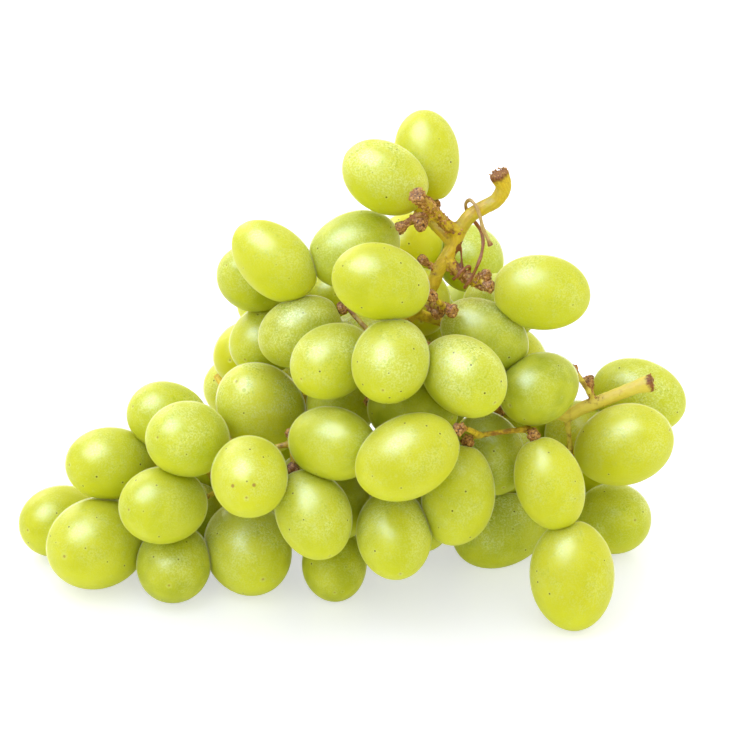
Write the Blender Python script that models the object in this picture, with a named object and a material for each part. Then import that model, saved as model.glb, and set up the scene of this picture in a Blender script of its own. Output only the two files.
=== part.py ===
# A bunch of white table grapes as picked, lying in a heap on a surface.
# The woody stalk is one grown piece: main stem, side stems and a berry stalk with a collar for each
# berry it reaches. A dry tendril curls round it. The berries hang in sprays, one for each side stem,
# and the berries of a spray press against each other.
# Lengths in the tables are millimetres. The model is in metres, +Z up, and stands on Z = 0.

import math

import bpy
import bmesh
import numpy as np
from mathutils import Matrix, Vector

MM = 0.001
OBJECT_NAME = "grape_bunch"
SEED = 15

# How the berries were measured: across and up as they are seen from a little above, with the
# viewer in front of the bunch, on the -Y side.
VIEW_TILT = math.radians(25.0)
VIEW_DISTANCE = 700.0
VIEW_AIM = np.array([3.5, 0.0, 47.6])

# Berries
LENGTH_TO_WIDTH = 1.30
BERRY_SIDES = 10
BERRY_RINGS = 6
FACET_GROWTH = 1.015    # a faceted berry is this much larger, to hold the volume of a round one
PRESS = 1.5             # overlap of two berries that press against each other
APART = 0.65            # least gap between berries that don't
FLAT_SPOT = 0.6         # how far a resting berry is pressed flat
OFF_FLOOR = 1.4         # least height of the other berries over the surface
SHARP_EDGE = math.radians(50)

# Stalk
MAIN_RADIUS = 1.95
MAIN_END_RADIUS = 1.2
WING_RADIUS = 1.8
SIDE_RADIUS = 1.5
SIDE_END_RADIUS = 1.0
BERRY_STALK_RADIUS = 0.65
EMPTY_STALK_TAPER = 0.75
COLLAR_RADIUS = 1.55
COLLAR_LENGTH = 1.4
COLLAR_WIDEST = 0.65    # where a collar is widest, as a share of its length
COLLAR_ENDS = 0.8       # a collar's end and a stalk's root, beside their widest
COLLAR_GAP = 0.3        # least gap between a collar and the other berries
STEM_GAP = 0.4          # least gap between a stem and a berry
TIGHT_GAP = 0.25        # the same for a berry stalk, between the points it is worked out at
BEAD_SPACING = 4.0      # between the points that a stem is worked out at
LONGEST_BERRY_STALK = 26.0
SHORT_BERRY_STALK = 14.0
STALK_STRAIGHT = 3.0    # a berry stalk meets its berry straight on for this far
STALK_POINTS = (4, 6)   # of a short and a long berry stalk
STALK_BENDS = 60        # rounds of bending a berry stalk clear
SPARE_GAP = 0.1         # room that a berry stalk is bent clear by, beyond the least gap
STALK_PUSH = 0.7
STALK_EVEN = 0.15
CHECK_SPACING = 1.0
ROOT_POINTS = 2         # of the checked points, these lie in the stem that the stalk starts from
TENDRIL_RADIUS = 0.5
TENDRIL_END_RADIUS = 0.4
COIL_STALK = 3          # the tendril ends coiled round this empty stalk
COIL_REACH = 2.55       # from the stalk's middle to the tendril's
COIL_TURNS = 1.2
COIL_SPAN = (0.74, 0.40)    # shares of that stalk's length between which it coils
COIL_POINTS = 10
COIL_SPACING = 0.25
SMOOTH_STEMS = 2        # the main stem and the wing stem, which show their cut ends
CUT_END_FLARE = 1.3
BLIND_END = 0.8
WELD = 0.00001
CUT_MERGE = 0.000001

# Where the hidden berries may lie: an oval heap behind the ones that are seen
HEAP_MIDDLE = np.array([5.0, -8.0, 44.0])
HEAP_REACH = np.array([82.0, 53.0, 60.0])
HEAP_CORE = 0.20        # no berries nearer the middle than this share, where the stems run
HEAP_EDGE = 0.97
FLOOR_DRAWS = 2500
HEAP_DRAWS = 9000
FLOOR_HEIGHT = 9.0      # of a resting berry's middle, near enough to judge where it may lie
LOWEST_MIDDLE = 12.0    # of the hidden berries that don't rest
HIDDEN_WIDTH = (17.5, 20.5)
HIDDEN_STRETCH = (1.15, 1.35)
LEAN_SCATTER = 0.45     # how far hidden berries' tips stray from pointing outwards
RESTING_LEAN = 0.4
CLOSEST_FIT = -2.0      # a berry may be drawn this far into its neighbour, to be pushed out
LOOSEST_FIT = 5.0
LEAST_HIDDEN = 0.97

# How the berries settle
TOUCHING_RANGE = 34.0   # berries with their middles further apart than this never touch
SETTLE_STEPS = 250
FILL_STEPS = 120
FILL_ROUNDS = 2
GATHER_ROUNDS = 3
PRESS_WEIGHT = 1.6
HOLD = 0.55             # how firmly a seen berry keeps its place in the picture
PRESSED_HOLD = 0.15     # the same while sprays are pressed together
HOLD_PULL = 0.2
STEP_SHARE = 0.55       # the share of an overlap that one step takes away
GIVE_DEPTH = 20.0       # of two seen berries this far apart in depth, only the one behind moves
LEAST_GIVE = 0.12
SEEN_GIVE = 0.15        # a seen berry's share of the way, beside a hidden one
STEM_GIVE = 0.5         # a stem's share of the way, beside a berry
STEM_STEP = 0.5
STEM_EVEN = 0.25
STEM_PULL = 0.01
FAR_BERRY_COST = 0.18   # a berry far from a side stem's end joins that spray less readily
NO_MATCH = 1e9
TINY = 1e-9
DEPTH_ROUNDS = 12       # to find the depth at which a berry rests
OUTLINE_SAMPLES = 16    # points on a berry's outline where it is tested for being hidden
MIX_SHARES = np.linspace(0.05, 0.95, 19)    # of one shape in the other, where touching is worked out

# The berries that show from the front, row by row from the top. Each is
# (across, up, depth, width, length as seen, direction its tip points in degrees).
# Depth grows away from the viewer. FLOOR means that the berry rests on the surface.
FLOOR = None
SEEN_BERRIES = [
    # top and shoulders
    (19.0, 98.0, 4, 17.0, 24.0, 98),
    (8.0, 92.5, -8, 18.5, 24.0, 150),
    (0.5, 74.0, -14, 19.5, 25.0, 205),
    (14.5, 75.0, 8, 17.5, 18.5, 200),
    (7.0, 66.0, -28, 20.0, 25.5, 165),
    (-21.0, 71.0, -14, 18.0, 25.5, 137),
    (-26.0, 66.5, 0, 17.0, 19.5, 155),
    (-22.0, 59.5, -2, 16.0, 17.5, 180),
    (-14.0, 64.5, -6, 17.5, 18.5, 120),
    (-5.0, 61.5, -12, 17.5, 18.5, -160),
    (30.0, 71.5, 6, 18.0, 19.0, -60),
    (49.0, 63.0, -18, 19.5, 25.5, -6),
    (39.0, 60.0, -4, 17.5, 19.5, -20),
    (17.0, 60.5, -2, 17.0, 18.5, -90),
    (19.5, 54.5, 14, 17.5, 18.5, -90),
    # middle rows
    (-14.0, 52.5, -28, 18.0, 23.5, 208),
    (-22.5, 48.5, -20, 18.5, 21.0, 225),
    (-28.0, 45.5, -8, 18.5, 19.5, 200),
    (-30.5, 38.0, -2, 17.0, 18.0, 190),
    (-5.0, 45.0, -36, 19.5, 23.0, 210),
    (3.5, 49.0, -20, 17.5, 18.5, 200),
    (9.5, 44.5, -44, 20.5, 23.0, 255),
    (28.5, 41.0, -40, 20.0, 24.0, -40),
    (32.5, 51.0, -26, 18.0, 24.5, -30),
    (41.0, 42.0, -8, 18.0, 19.0, -40),
    (48.5, 37.5, -28, 18.5, 22.0, 208),
    (15.0, 32.0, -28, 19.5, 23.5, -10),
    (-2.5, 34.5, -24, 18.0, 19.5, 200),
    (-24.5, 32.5, -36, 23.0, 26.0, 130),
    (-5.5, 24.0, -42, 19.5, 23.5, -12),
    (14.0, 20.0, -54, 22.0, 28.5, 208),
    (36.0, 21.0, -22, 18.5, 22.0, -70),
    # right wing
    (74.5, 36.0, -2, 19.5, 25.0, -18),
    (70.0, 23.0, -22, 21.0, 26.0, 20),
    (57.5, 24.5, -8, 18.0, 19.0, -60),
    (50.5, 13.5, -46, 18.0, 25.0, -72),
    (67.0, 4.0, FLOOR, 18.5, 19.5, 0),
    (57.0, -11.5, FLOOR, 22.0, 29.0, -87),
    # lower rows
    (28.5, 11.0, -44, 19.5, 26.5, 260),
    (38.0, 1.0, FLOOR, 19.5, 25.5, -165),
    (9.0, -1.0, -44, 19.5, 23.0, -80),
    (17.0, 5.0, -24, 17.5, 19.5, -90),
    (-27.5, 15.0, -48, 20.5, 21.5, -90),
    (-28.5, -3.5, FLOOR, 22.5, 25.0, -60),
    (-10.5, 4.0, -50, 19.5, 24.5, -65),
    (-6.0, -8.5, FLOOR, 17.0, 19.0, -90),
    (-2.5, 11.5, -28, 17.5, 18.5, -90),
    # left tail
    (-46.5, 31.5, -18, 18.5, 22.0, 160),
    (-43.0, 25.0, -38, 20.0, 22.0, 175),
    (-64.0, 19.0, -24, 19.5, 23.5, 180),
    (-50.0, 7.0, -44, 20.5, 23.0, 185),
    (-67.5, -2.5, FLOOR, 24.0, 26.0, 200),
    (-76.0, 2.0, FLOOR, 18.5, 21.0, 195),
    (-46.0, -7.0, FLOOR, 19.5, 20.5, -90),
]

# Stems, as (across, up, depth) from the cut end inwards, chosen by hand. The first points of a
# stem are seen, so they are held where they are, and the rest bends clear of the berries.
MAIN_STEM = [
    (37.6, 93.6, -10), (39.0, 90.6, -10), (38.2, 87.7, -10), (35.6, 85.4, -10), (31.6, 83.9, -10.5),
    (28.9, 81.4, -11), (27.2, 78.2, -11.5), (25.8, 74.8, -12), (23.6, 71.2, -13), (21.6, 67.8, -13),
    (20.6, 65.0, -13), (19.0, 60.0, -12), (14.0, 50.0, -6), (4.0, 41.0, 0), (-10.0, 33.0, 2),
    (-27.0, 25.0, 0), (-42.0, 19.0, -6), (-54.0, 13.0, -12),
]
MAIN_SEEN = 11
WING_STEM = [
    (77.4, 39.2, -14), (73.0, 38.0, -14.5), (67.8, 35.9, -15.5), (62.5, 33.8, -16.5),
    (57.5, 31.9, -17.5), (53.0, 29.6, -18), (46.0, 27.5, -15), (34.0, 31.0, -8), (19.0, 47.0, -6),
]
WING_SEEN = 6

# The empty berry stalks, whose berries have dropped: radius, radius of the knob at the end, and
# route as (across, up, depth). Each starts at the nearest stem, or at one that stands before it here.
EMPTY_STALKS = [
    (1.8, 2.0, [(26.0, 78.4, -12), (24.9, 79.6, -12.5), (21.9, 82.3, -14.5), (19.2, 84.9, -17),
                (17.5, 86.4, -19.5), (16.3, 87.9, -21)]),
    (1.2, 1.3, [(21.9, 82.1, -14.5), (19.4, 82.4, -15), (16.9, 82.5, -15.5), (14.4, 81.1, -15.5),
                (11.9, 79.4, -15.5)]),
    (1.0, 1.6, [(19.4, 82.0, -15), (18.5, 80.9, -16.5), (16.9, 80.0, -17.5)]),
    (1.8, 1.3, [(23.8, 70.4, -13), (26.5, 68.5, -13.8), (29.2, 66.7, -14.8), (31.8, 65.4, -16),
                (33.6, 64.6, -17)]),
    (1.1, 1.4, [(31.4, 65.6, -16), (33.0, 66.7, -17.5), (34.5, 67.1, -18.5)]),
    (1.4, 1.6, [(19.6, 62.5, -13), (18.6, 60.6, -17), (20.6, 59.7, -21), (23.4, 58.7, -25),
                (25.6, 57.8, -27.5)]),
    (1.1, 1.3, [(18.8, 60.4, -17.5), (19.9, 58.6, -20.5), (21.8, 57.0, -23.5)]),
    (0.85, 1.1, [(22.4, 68.8, -13), (19.6, 69.8, -13.5), (17.4, 71.3, -13.5)]),
    (0.9, 1.4, [(61.9, 33.6, -16.7), (61.5, 36.2, -16.8), (60.8, 39.1, -16)]),
]

# The dry tendril, as (across, up, depth) from its free end: over the main stem, back behind it and
# down to the empty stalk that it coils round
TENDRIL = [
    (35.5, 74.8, -15.5), (34.8, 76.4, -15.3), (33.5, 79.2, -15.0), (32.8, 82.0, -14.4), (31.8, 84.8, -13.4),
    (30.2, 86.6, -11.2), (29.0, 85.6, -8.6), (29.6, 83.2, -7.2), (31.0, 81.4, -8.0), (32.6, 79.2, -10.0),
    (33.5, 76.3, -12.6), (33.2, 73.0, -15.2), (32.2, 70.0, -17.4),
]

# Where each side stem ends, in the bunch's own frame, and the share of the main stem's length
# where it leaves. Its spray is made of the berries that gather round that end.
SPRAYS = {
    "berries_crown": ((14, 2, 100), 0.17),
    "berries_left": ((-20, 0, 64), 0.46),
    "berries_front": ((6, -26, 68), 0.38),
    "berries_right": ((36, -2, 62), 0.34),
    "berries_wing": ((62, -10, 32), None),
    "berries_foot": ((47, -34, 30), None),
    "berries_low": ((22, -24, 26), 0.52),
    "berries_middle": ((-12, -24, 32), 0.62),
    "berries_tail": ((-56, -24, 22), 1.0),
    "berries_back_top": ((8, 28, 62), 0.46),
    "berries_back_left": ((-36, 20, 34), 0.72),
    "berries_back_right": ((44, 24, 44), 0.50),
}

# Colours and finish: (colour, roughness)
BERRY_FINISH = ((0.62, 0.68, 0.13, 1.0), 0.32)
STALK_FINISH = ((0.55, 0.42, 0.14, 1.0), 0.75)
TENDRIL_FINISH = ((0.48, 0.30, 0.13, 1.0), 0.80)

RIGHT = np.array([1.0, 0.0, 0.0])
UP = np.array([0.0, math.sin(VIEW_TILT), math.cos(VIEW_TILT)])
TOWARD = np.array([0.0, -math.cos(VIEW_TILT), math.sin(VIEW_TILT)])
EYE = VIEW_AIM + TOWARD * VIEW_DISTANCE


class Heap:
    """The berries: places, directions of their tips, sizes, and which are seen or rest on the surface."""

    def __init__(self):
        self.place = np.zeros((0, 3))
        self.axis = np.zeros((0, 3))
        self.width = np.zeros(0)
        self.length = np.zeros(0)
        self.shape = np.zeros((0, 3, 3))
        self.seen = np.zeros(0, bool)
        self.rests = np.zeros(0, bool)
        self.home = np.zeros((0, 3))

    def add(self, place, axis, width, length, seen, rests):
        self.place = np.vstack([self.place, place])
        self.home = np.vstack([self.home, place])
        self.axis = np.vstack([self.axis, axis])
        self.width = np.append(self.width, width)
        self.length = np.append(self.length, length)
        self.shape = np.concatenate([self.shape, spheroid(axis, width, length)[None]])
        self.seen = np.append(self.seen, seen)
        self.rests = np.append(self.rests, rests)


class Stems:
    """The stems as chains of beads, which keep the berries off them."""

    def __init__(self):
        self.bead = np.zeros((0, 3))
        self.radius = np.zeros(0)
        self.pinned = np.zeros(0, bool)
        self.chains = []
        self.ties = []

    def add(self, beads, radius, end_radius, pinned):
        first = len(self.bead)
        self.bead = np.vstack([self.bead, beads])
        self.radius = np.append(self.radius, np.linspace(radius, end_radius, len(beads)))
        self.pinned = np.append(self.pinned, pinned)
        self.chains.append((first, len(self.bead)))

    def tie(self, bead, root):
        """Holds the end of a side stem on the main stem."""
        self.ties.append((bead, root))
        self.bead[bead] = self.bead[root]


def from_view(across, up, depth):
    """The point that is seen at (across, up) and lies at that depth."""
    on_plane = np.array([across, 0.0, 0.0]) + UP * up
    on_plane = on_plane + TOWARD * ((VIEW_AIM - on_plane) @ TOWARD)
    ray = on_plane - EYE
    return EYE + ray * (depth - EYE[1]) / ray[1]


def sight_line(point):
    ray = point - EYE
    return ray / np.linalg.norm(ray)


def spheroid(axis, width, length):
    """The matrix S of a spheroid, whose surface lies at sqrt(n.S.n) along each direction n."""
    along = np.outer(axis, axis)
    return (width / 2) ** 2 * (np.eye(3) - along) + (length / 2) ** 2 * along


def add_seen_berry(heap, across, up, depth, width, seen_length, turn):
    """A berry that looks shorter than its kind leans out of the picture, tip first."""
    length = max(seen_length, LENGTH_TO_WIDTH * width)
    shown = (seen_length ** 2 - width ** 2) / (length ** 2 - width ** 2)
    lean = math.acos(math.sqrt(min(1.0, max(0.0, shown))))
    turn = math.radians(turn)
    axis = math.cos(turn) * RIGHT + math.sin(turn) * UP
    axis = math.cos(lean) * axis + math.sin(lean) * TOWARD
    rests = depth is FLOOR
    if rests:
        half_height = math.sqrt(spheroid(axis, width, length)[2, 2]) - FLAT_SPOT
        depth = 0.0
        for _ in range(DEPTH_ROUNDS):
            depth += (from_view(across, up, depth)[2] - half_height) / math.tan(VIEW_TILT)
    place = from_view(across, up, depth)
    nearer = np.linalg.norm(place - EYE) / VIEW_DISTANCE
    heap.add(place, axis, width * nearer, length * nearer, True, rests)


def touching_distance(shape_a, shape_b, between):
    """How far apart two spheroids' centres are when they just touch, along the line between them."""
    mix = MIX_SHARES[None, :, None, None]
    blend = (1 - mix) * shape_a[:, None] + mix * shape_b[:, None]
    line = np.broadcast_to(between[:, None, :, None], blend.shape[:2] + (3, 1))
    solved = np.linalg.solve(blend, line)[..., 0]
    reach = (MIX_SHARES * (1 - MIX_SHARES) * (between[:, None, :] * solved).sum(-1)).max(1)
    return np.linalg.norm(between, axis=1) / np.sqrt(reach)


def surface_distance(point, heap):
    """How far a point is from each berry's surface, along the line to the berry's middle."""
    away = point - heap.place
    distance = np.linalg.norm(away, axis=1)
    direction = away / np.maximum(distance, TINY)[:, None]
    radial = np.einsum("ni,nij,nj->n", direction, np.linalg.inv(heap.shape), direction)
    return distance - 1.0 / np.sqrt(radial)


def hidden_share(place, shape, heap):
    """The share of a berry's outline that the seen berries hide."""
    line = sight_line(place)
    side = np.cross(line, [0.0, 0.0, 1.0])
    side /= np.linalg.norm(side)
    over = np.cross(side, line)
    seen = heap.seen
    inverse = np.linalg.inv(heap.shape[seen])
    offset = EYE - heap.place[seen]
    constant = np.einsum("ni,nij,nj->n", offset, inverse, offset) - 1.0
    hidden = 0
    for k in range(OUTLINE_SAMPLES):
        angle = 2 * math.pi * k / OUTLINE_SAMPLES
        direction = math.cos(angle) * side + math.sin(angle) * over
        rim = place + shape @ direction / math.sqrt(direction @ shape @ direction)
        distance = np.linalg.norm(rim - EYE)
        ray = (rim - EYE) / distance
        square = np.einsum("i,nij,j->n", ray, inverse, ray)
        linear = np.einsum("ni,nij,j->n", offset, inverse, ray)
        root = linear ** 2 - square * constant
        hits = root > 0
        if hits.any():
            first = ((-linear[hits] - np.sqrt(root[hits])) / square[hits]).min()
            hidden += first < distance
    return hidden / OUTLINE_SAMPLES


def beads_along(points, spacing):
    """Points at an even spacing along a route."""
    points = np.array(points, dtype=float)
    steps = np.linalg.norm(np.diff(points, axis=0), axis=1)
    run = np.concatenate([[0.0], np.cumsum(steps)])
    count = max(2, round(run[-1] / spacing))
    stops = np.linspace(0.0, run[-1], count + 1)
    return np.stack([np.interp(stops, run, points[:, k]) for k in range(3)], axis=1)


def add_seen_stem(stems, route, seen_points, radius, end_radius):
    points = [from_view(*point) for point in route]
    beads = beads_along(points, BEAD_SPACING)
    seen_run = np.linalg.norm(np.diff(np.array(points[:seen_points]), axis=0), axis=1).sum()
    run = np.concatenate([[0.0], np.cumsum(np.linalg.norm(np.diff(beads, axis=0), axis=1))])
    stems.add(beads, radius, end_radius, run < seen_run)


def add_side_stem(stems, end, share):
    """A hidden side stem, from a point of the main stem to the middle of its spray."""
    first, last = stems.chains[0]
    root = first + round(share * (last - 1 - first))
    beads = beads_along([stems.bead[root], np.array(end, dtype=float)], BEAD_SPACING)
    stems.add(beads, SIDE_RADIUS, SIDE_END_RADIUS, np.zeros(len(beads), bool))
    stems.tie(stems.chains[-1][0], root)


def settle(heap, stems, pressed, steps, hold):
    """Moves the berries until none cuts into another, save the pairs that press together.

    A seen berry moves along the line of sight and hardly out of its place in the picture, and
    the one behind gives way. The stems bend clear too, where they are not seen.
    """
    count = len(heap.place)
    first, second = np.triu_indices(count, 1)
    presses = np.zeros((count, count), bool)
    for a, b in pressed:
        presses[a, b] = presses[b, a] = True
    lowest = np.sqrt(heap.shape[:, 2, 2]) - FLAT_SPOT
    stem_home = stems.bead.copy()
    loose = np.where(stems.pinned, 0.0, STEM_GIVE)
    for _ in range(steps):
        between = heap.place[second] - heap.place[first]
        distance = np.linalg.norm(between, axis=1)
        near = (distance < TOUCHING_RANGE) | presses[first, second]
        a, b = first[near], second[near]
        between, distance = between[near], distance[near]
        touch = touching_distance(heap.shape[a], heap.shape[b], between)
        overlap = np.maximum(0.0, touch + APART - distance)
        overlap = np.where(presses[a, b], PRESS_WEIGHT * (touch - PRESS - distance), overlap)
        direction = between / distance[:, None]
        behind = ((heap.place[a] - heap.place[b]) @ -TOWARD) / GIVE_DEPTH
        gives = np.clip(0.5 + behind, LEAST_GIVE, 1 - LEAST_GIVE)
        gives = np.where(heap.seen[a] & heap.seen[b], gives, 0.5)
        gives = np.where(heap.seen[a] & ~heap.seen[b], SEEN_GIVE, gives)
        gives = np.where(~heap.seen[a] & heap.seen[b], 1 - SEEN_GIVE, gives)
        move = np.zeros_like(heap.place)
        np.add.at(move, a, -direction * (overlap * gives)[:, None])
        np.add.at(move, b, direction * (overlap * (1 - gives))[:, None])

        from_bead = heap.place[:, None, :] - stems.bead[None]
        bead_distance = np.linalg.norm(from_bead, axis=-1)
        outward = from_bead / bead_distance[..., None]
        reach = np.sqrt(np.einsum("nsi,nij,nsj->ns", outward, heap.shape, outward))
        cut = np.maximum(0.0, reach + stems.radius[None] + STEM_GAP - bead_distance)
        deepest = cut.argmax(1)
        rows = np.arange(count)
        push = cut[rows, deepest] * (1 - loose[deepest])
        move += outward[rows, deepest] * push[:, None]
        bead_move = -(outward * (cut * loose[None])[..., None]).sum(0)
        for start, stop in stems.chains:
            middle = (stems.bead[start:stop - 2] + stems.bead[start + 2:stop]) / 2
            bead_move[start + 1:stop - 1] += STEM_EVEN * (middle - stems.bead[start + 1:stop - 1])
        bead_move -= (stems.bead - stem_home) * STEM_PULL
        bead_move[stems.pinned] = 0.0
        stems.bead = stems.bead + STEM_STEP * bead_move
        for bead, root in stems.ties:
            stems.bead[bead] = stems.bead[root]

        move *= STEP_SHARE
        line = heap.place - EYE
        line /= np.linalg.norm(line, axis=1)[:, None]
        along = (move * line).sum(1)[:, None] * line
        off = heap.place - heap.home
        off_picture = off - (off * line).sum(1)[:, None] * line
        held = along + (move - along) * (1 - hold) - off_picture * HOLD_PULL * hold
        heap.place = heap.place + np.where(heap.seen[:, None], held, move)
        raised = np.maximum(heap.place[:, 2], lowest + OFF_FLOOR)
        heap.place[:, 2] = np.where(heap.rests, lowest, raised)


def fill_heap(heap, stems, draw):
    """Draws hidden berries inside the heap's outline, where they fit and stay out of view."""
    def try_berry(place, rests):
        width = draw.uniform(*HIDDEN_WIDTH)
        length = width * draw.uniform(*HIDDEN_STRETCH)
        outward = (place - HEAP_MIDDLE) / np.linalg.norm(place - HEAP_MIDDLE)
        axis = outward + draw.normal(0.0, LEAN_SCATTER, 3)
        if rests:
            axis[2] = -RESTING_LEAN * abs(axis[2])
        axis /= np.linalg.norm(axis)
        shape = spheroid(axis, width, length)
        if rests:
            place[2] = math.sqrt(shape[2, 2]) - FLAT_SPOT
        near = np.linalg.norm(heap.place - place, axis=1) < TOUCHING_RANGE
        if not near.any():
            return
        between = heap.place[near] - place
        both = np.broadcast_to(shape, (near.sum(), 3, 3))
        gap = np.linalg.norm(between, axis=1) - touching_distance(both, heap.shape[near], between)
        fits = CLOSEST_FIT < gap.min() < LOOSEST_FIT
        clear = np.linalg.norm(stems.bead - place, axis=1).min() > width / 2 + SIDE_RADIUS
        if fits and clear and hidden_share(place, shape, heap) > LEAST_HIDDEN:
            heap.add(place, axis, width, length, False, rests)

    lows, highs = HEAP_MIDDLE - HEAP_REACH, HEAP_MIDDLE + HEAP_REACH
    for draws, rests in ((FLOOR_DRAWS, True), (HEAP_DRAWS, False)):
        for _ in range(draws):
            place = draw.uniform(lows, highs)
            place[2] = FLOOR_HEIGHT if rests else max(place[2], LOWEST_MIDDLE)
            share = (((place - HEAP_MIDDLE) / HEAP_REACH) ** 2).sum()
            if HEAP_CORE < share < HEAP_EDGE:
                try_berry(place, rests)


def gather_sprays(heap):
    """Shares the berries out to the side stems: each joins the spray that it lies closest to."""
    count = len(heap.place)
    first, second = np.triu_indices(count, 1)
    between = heap.place[second] - heap.place[first]
    gap = np.linalg.norm(between, axis=1)
    gap = gap - touching_distance(heap.shape[first], heap.shape[second], between)
    gaps = np.full((count, count), NO_MATCH)
    gaps[first, second] = gaps[second, first] = gap
    ends = np.array([end for end, _ in SPRAYS.values()], dtype=float)
    to_end = np.linalg.norm(heap.place[:, None] - ends[None], axis=-1)
    spray_of = np.full(count, -1)
    for k in range(len(ends)):
        spray_of[np.where(spray_of < 0, to_end[:, k], NO_MATCH).argmin()] = k
    pressed = []
    while (spray_of < 0).any():
        inside, outside = np.nonzero(spray_of >= 0)[0], np.nonzero(spray_of < 0)[0]
        cost = gaps[np.ix_(inside, outside)] + FAR_BERRY_COST * to_end[outside][:, spray_of[inside]].T
        row, column = np.unravel_index(cost.argmin(), cost.shape)
        pressed.append((inside[row], outside[column]))
        spray_of[outside[column]] = spray_of[inside[row]]
    return spray_of, pressed


def lay_out():
    """The whole bunch: berries, stems and sprays, shifted to the bunch's own frame."""
    draw = np.random.default_rng(SEED)
    heap = Heap()
    for berry in SEEN_BERRIES:
        add_seen_berry(heap, *berry)
    stems = Stems()
    add_seen_stem(stems, MAIN_STEM, MAIN_SEEN, MAIN_RADIUS, MAIN_END_RADIUS)
    add_seen_stem(stems, WING_STEM, WING_SEEN, WING_RADIUS, SIDE_RADIUS)
    main_length = stems.chains[0][1]
    wing_end = stems.bead[-1]
    stems.tie(len(stems.bead) - 1, np.linalg.norm(stems.bead[:main_length] - wing_end, axis=1).argmin())
    for end, share in SPRAYS.values():
        if share is not None and share < 1.0:
            add_side_stem(stems, end, share)
    settle(heap, stems, [], SETTLE_STEPS, HOLD)
    for _ in range(FILL_ROUNDS):
        heap.home = np.where(heap.seen[:, None], heap.home, heap.place)
        fill_heap(heap, stems, draw)
        settle(heap, stems, [], FILL_STEPS, HOLD)
    for _ in range(GATHER_ROUNDS):
        spray_of, pressed = gather_sprays(heap)
        settle(heap, stems, pressed, SETTLE_STEPS, PRESSED_HOLD)
    return heap, stems, spray_of, pressed


def berry_stalk_path(heap, stems, berry):
    """A berry stalk's path from the nearest stem to just off its berry, bent clear of the rest.

    Returns None where there is no clear way.
    """
    axis = heap.axis[berry]
    top = heap.place[berry] - axis * (heap.length[berry] / 2 + STEM_GAP)
    before = top - axis * COLLAR_LENGTH
    run_in = before - axis * STALK_STRAIGHT
    root = stems.bead[np.linalg.norm(stems.bead - run_in, axis=1).argmin()]
    reach = np.linalg.norm(before - root)
    if reach > LONGEST_BERRY_STALK:
        return None
    count = STALK_POINTS[0] if reach < SHORT_BERRY_STALK else STALK_POINTS[1]
    share = np.linspace(0.0, 1.0, count)[:, None]
    bend = root * (1 - share) + run_in * share
    path = bend * (1 - share ** 2) + before * share ** 2
    for _ in range(STALK_BENDS):
        for k in range(1, count - 1):
            gap = surface_distance(path[k], heap) - BERRY_STALK_RADIUS - STEM_GAP - SPARE_GAP
            worst = gap.argmin()
            if gap[worst] < 0:
                away = path[k] - heap.place[worst]
                path[k] -= away / np.linalg.norm(away) * gap[worst] * STALK_PUSH
            path[k] += STALK_EVEN * ((path[k - 1] + path[k + 1]) / 2 - path[k])
    fine = beads_along(path, CHECK_SPACING)[ROOT_POINTS:]
    if min(surface_distance(point, heap).min() for point in fine) < BERRY_STALK_RADIUS + TIGHT_GAP:
        return None
    collar = surface_distance(top, heap)
    collar[berry] = NO_MATCH
    if collar.min() < COLLAR_RADIUS + COLLAR_GAP:
        return None
    return np.vstack([path, top])


def grow_berry_stalks(heap, stems):
    """Berry stalks in order of nearness, each from the nearest stem or berry stalk."""
    tops = heap.place - heap.axis * (heap.length / 2)[:, None]
    nearness = np.linalg.norm(tops[:, None] - stems.bead[None], axis=-1).min(1)
    paths = []
    for berry in np.argsort(nearness, kind="stable"):
        path = berry_stalk_path(heap, stems, berry)
        if path is not None:
            paths.append(path)
            stems.bead = np.vstack([stems.bead, path[1:-2]])
    return paths


def middle_of(heap):
    """The middle of the bunch's outline as seen from above, which becomes the origin."""
    half = np.sqrt(np.stack([heap.shape[:, k, k] for k in range(3)], axis=1))
    middle = ((heap.place - half).min(0) + (heap.place + half).max(0)) / 2
    middle[2] = 0.0
    return middle


def smooth_path(points, steps):
    """A smooth curve through the points of a route, with that many steps between each two."""
    points = np.array(points, dtype=float)
    padded = np.vstack([2 * points[0] - points[1], points, 2 * points[-1] - points[-2]])
    path = []
    for k in range(1, len(padded) - 2):
        before, start, end, after = padded[k - 1:k + 3]
        for step in range(steps):
            t = step / steps
            bend = (2 * before - 5 * start + 4 * end - after) * t ** 2
            bend = bend + (3 * start - before - 3 * end + after) * t ** 3
            path.append(start + 0.5 * ((end - before) * t + bend))
    path.append(padded[-2])
    return np.array(path)


def new_collection(name):
    collection = bpy.data.collections.new(name)
    bpy.context.scene.collection.children.link(collection)
    return collection


def new_material(name, finish):
    colour, roughness = finish
    material = bpy.data.materials.new(name)
    material.use_nodes = True
    shader = material.node_tree.nodes["Principled BSDF"]
    shader.inputs["Base Color"].default_value = colour
    shader.inputs["Roughness"].default_value = roughness
    shader.inputs["Metallic"].default_value = 0.0
    material.diffuse_color = colour
    return material


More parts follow.
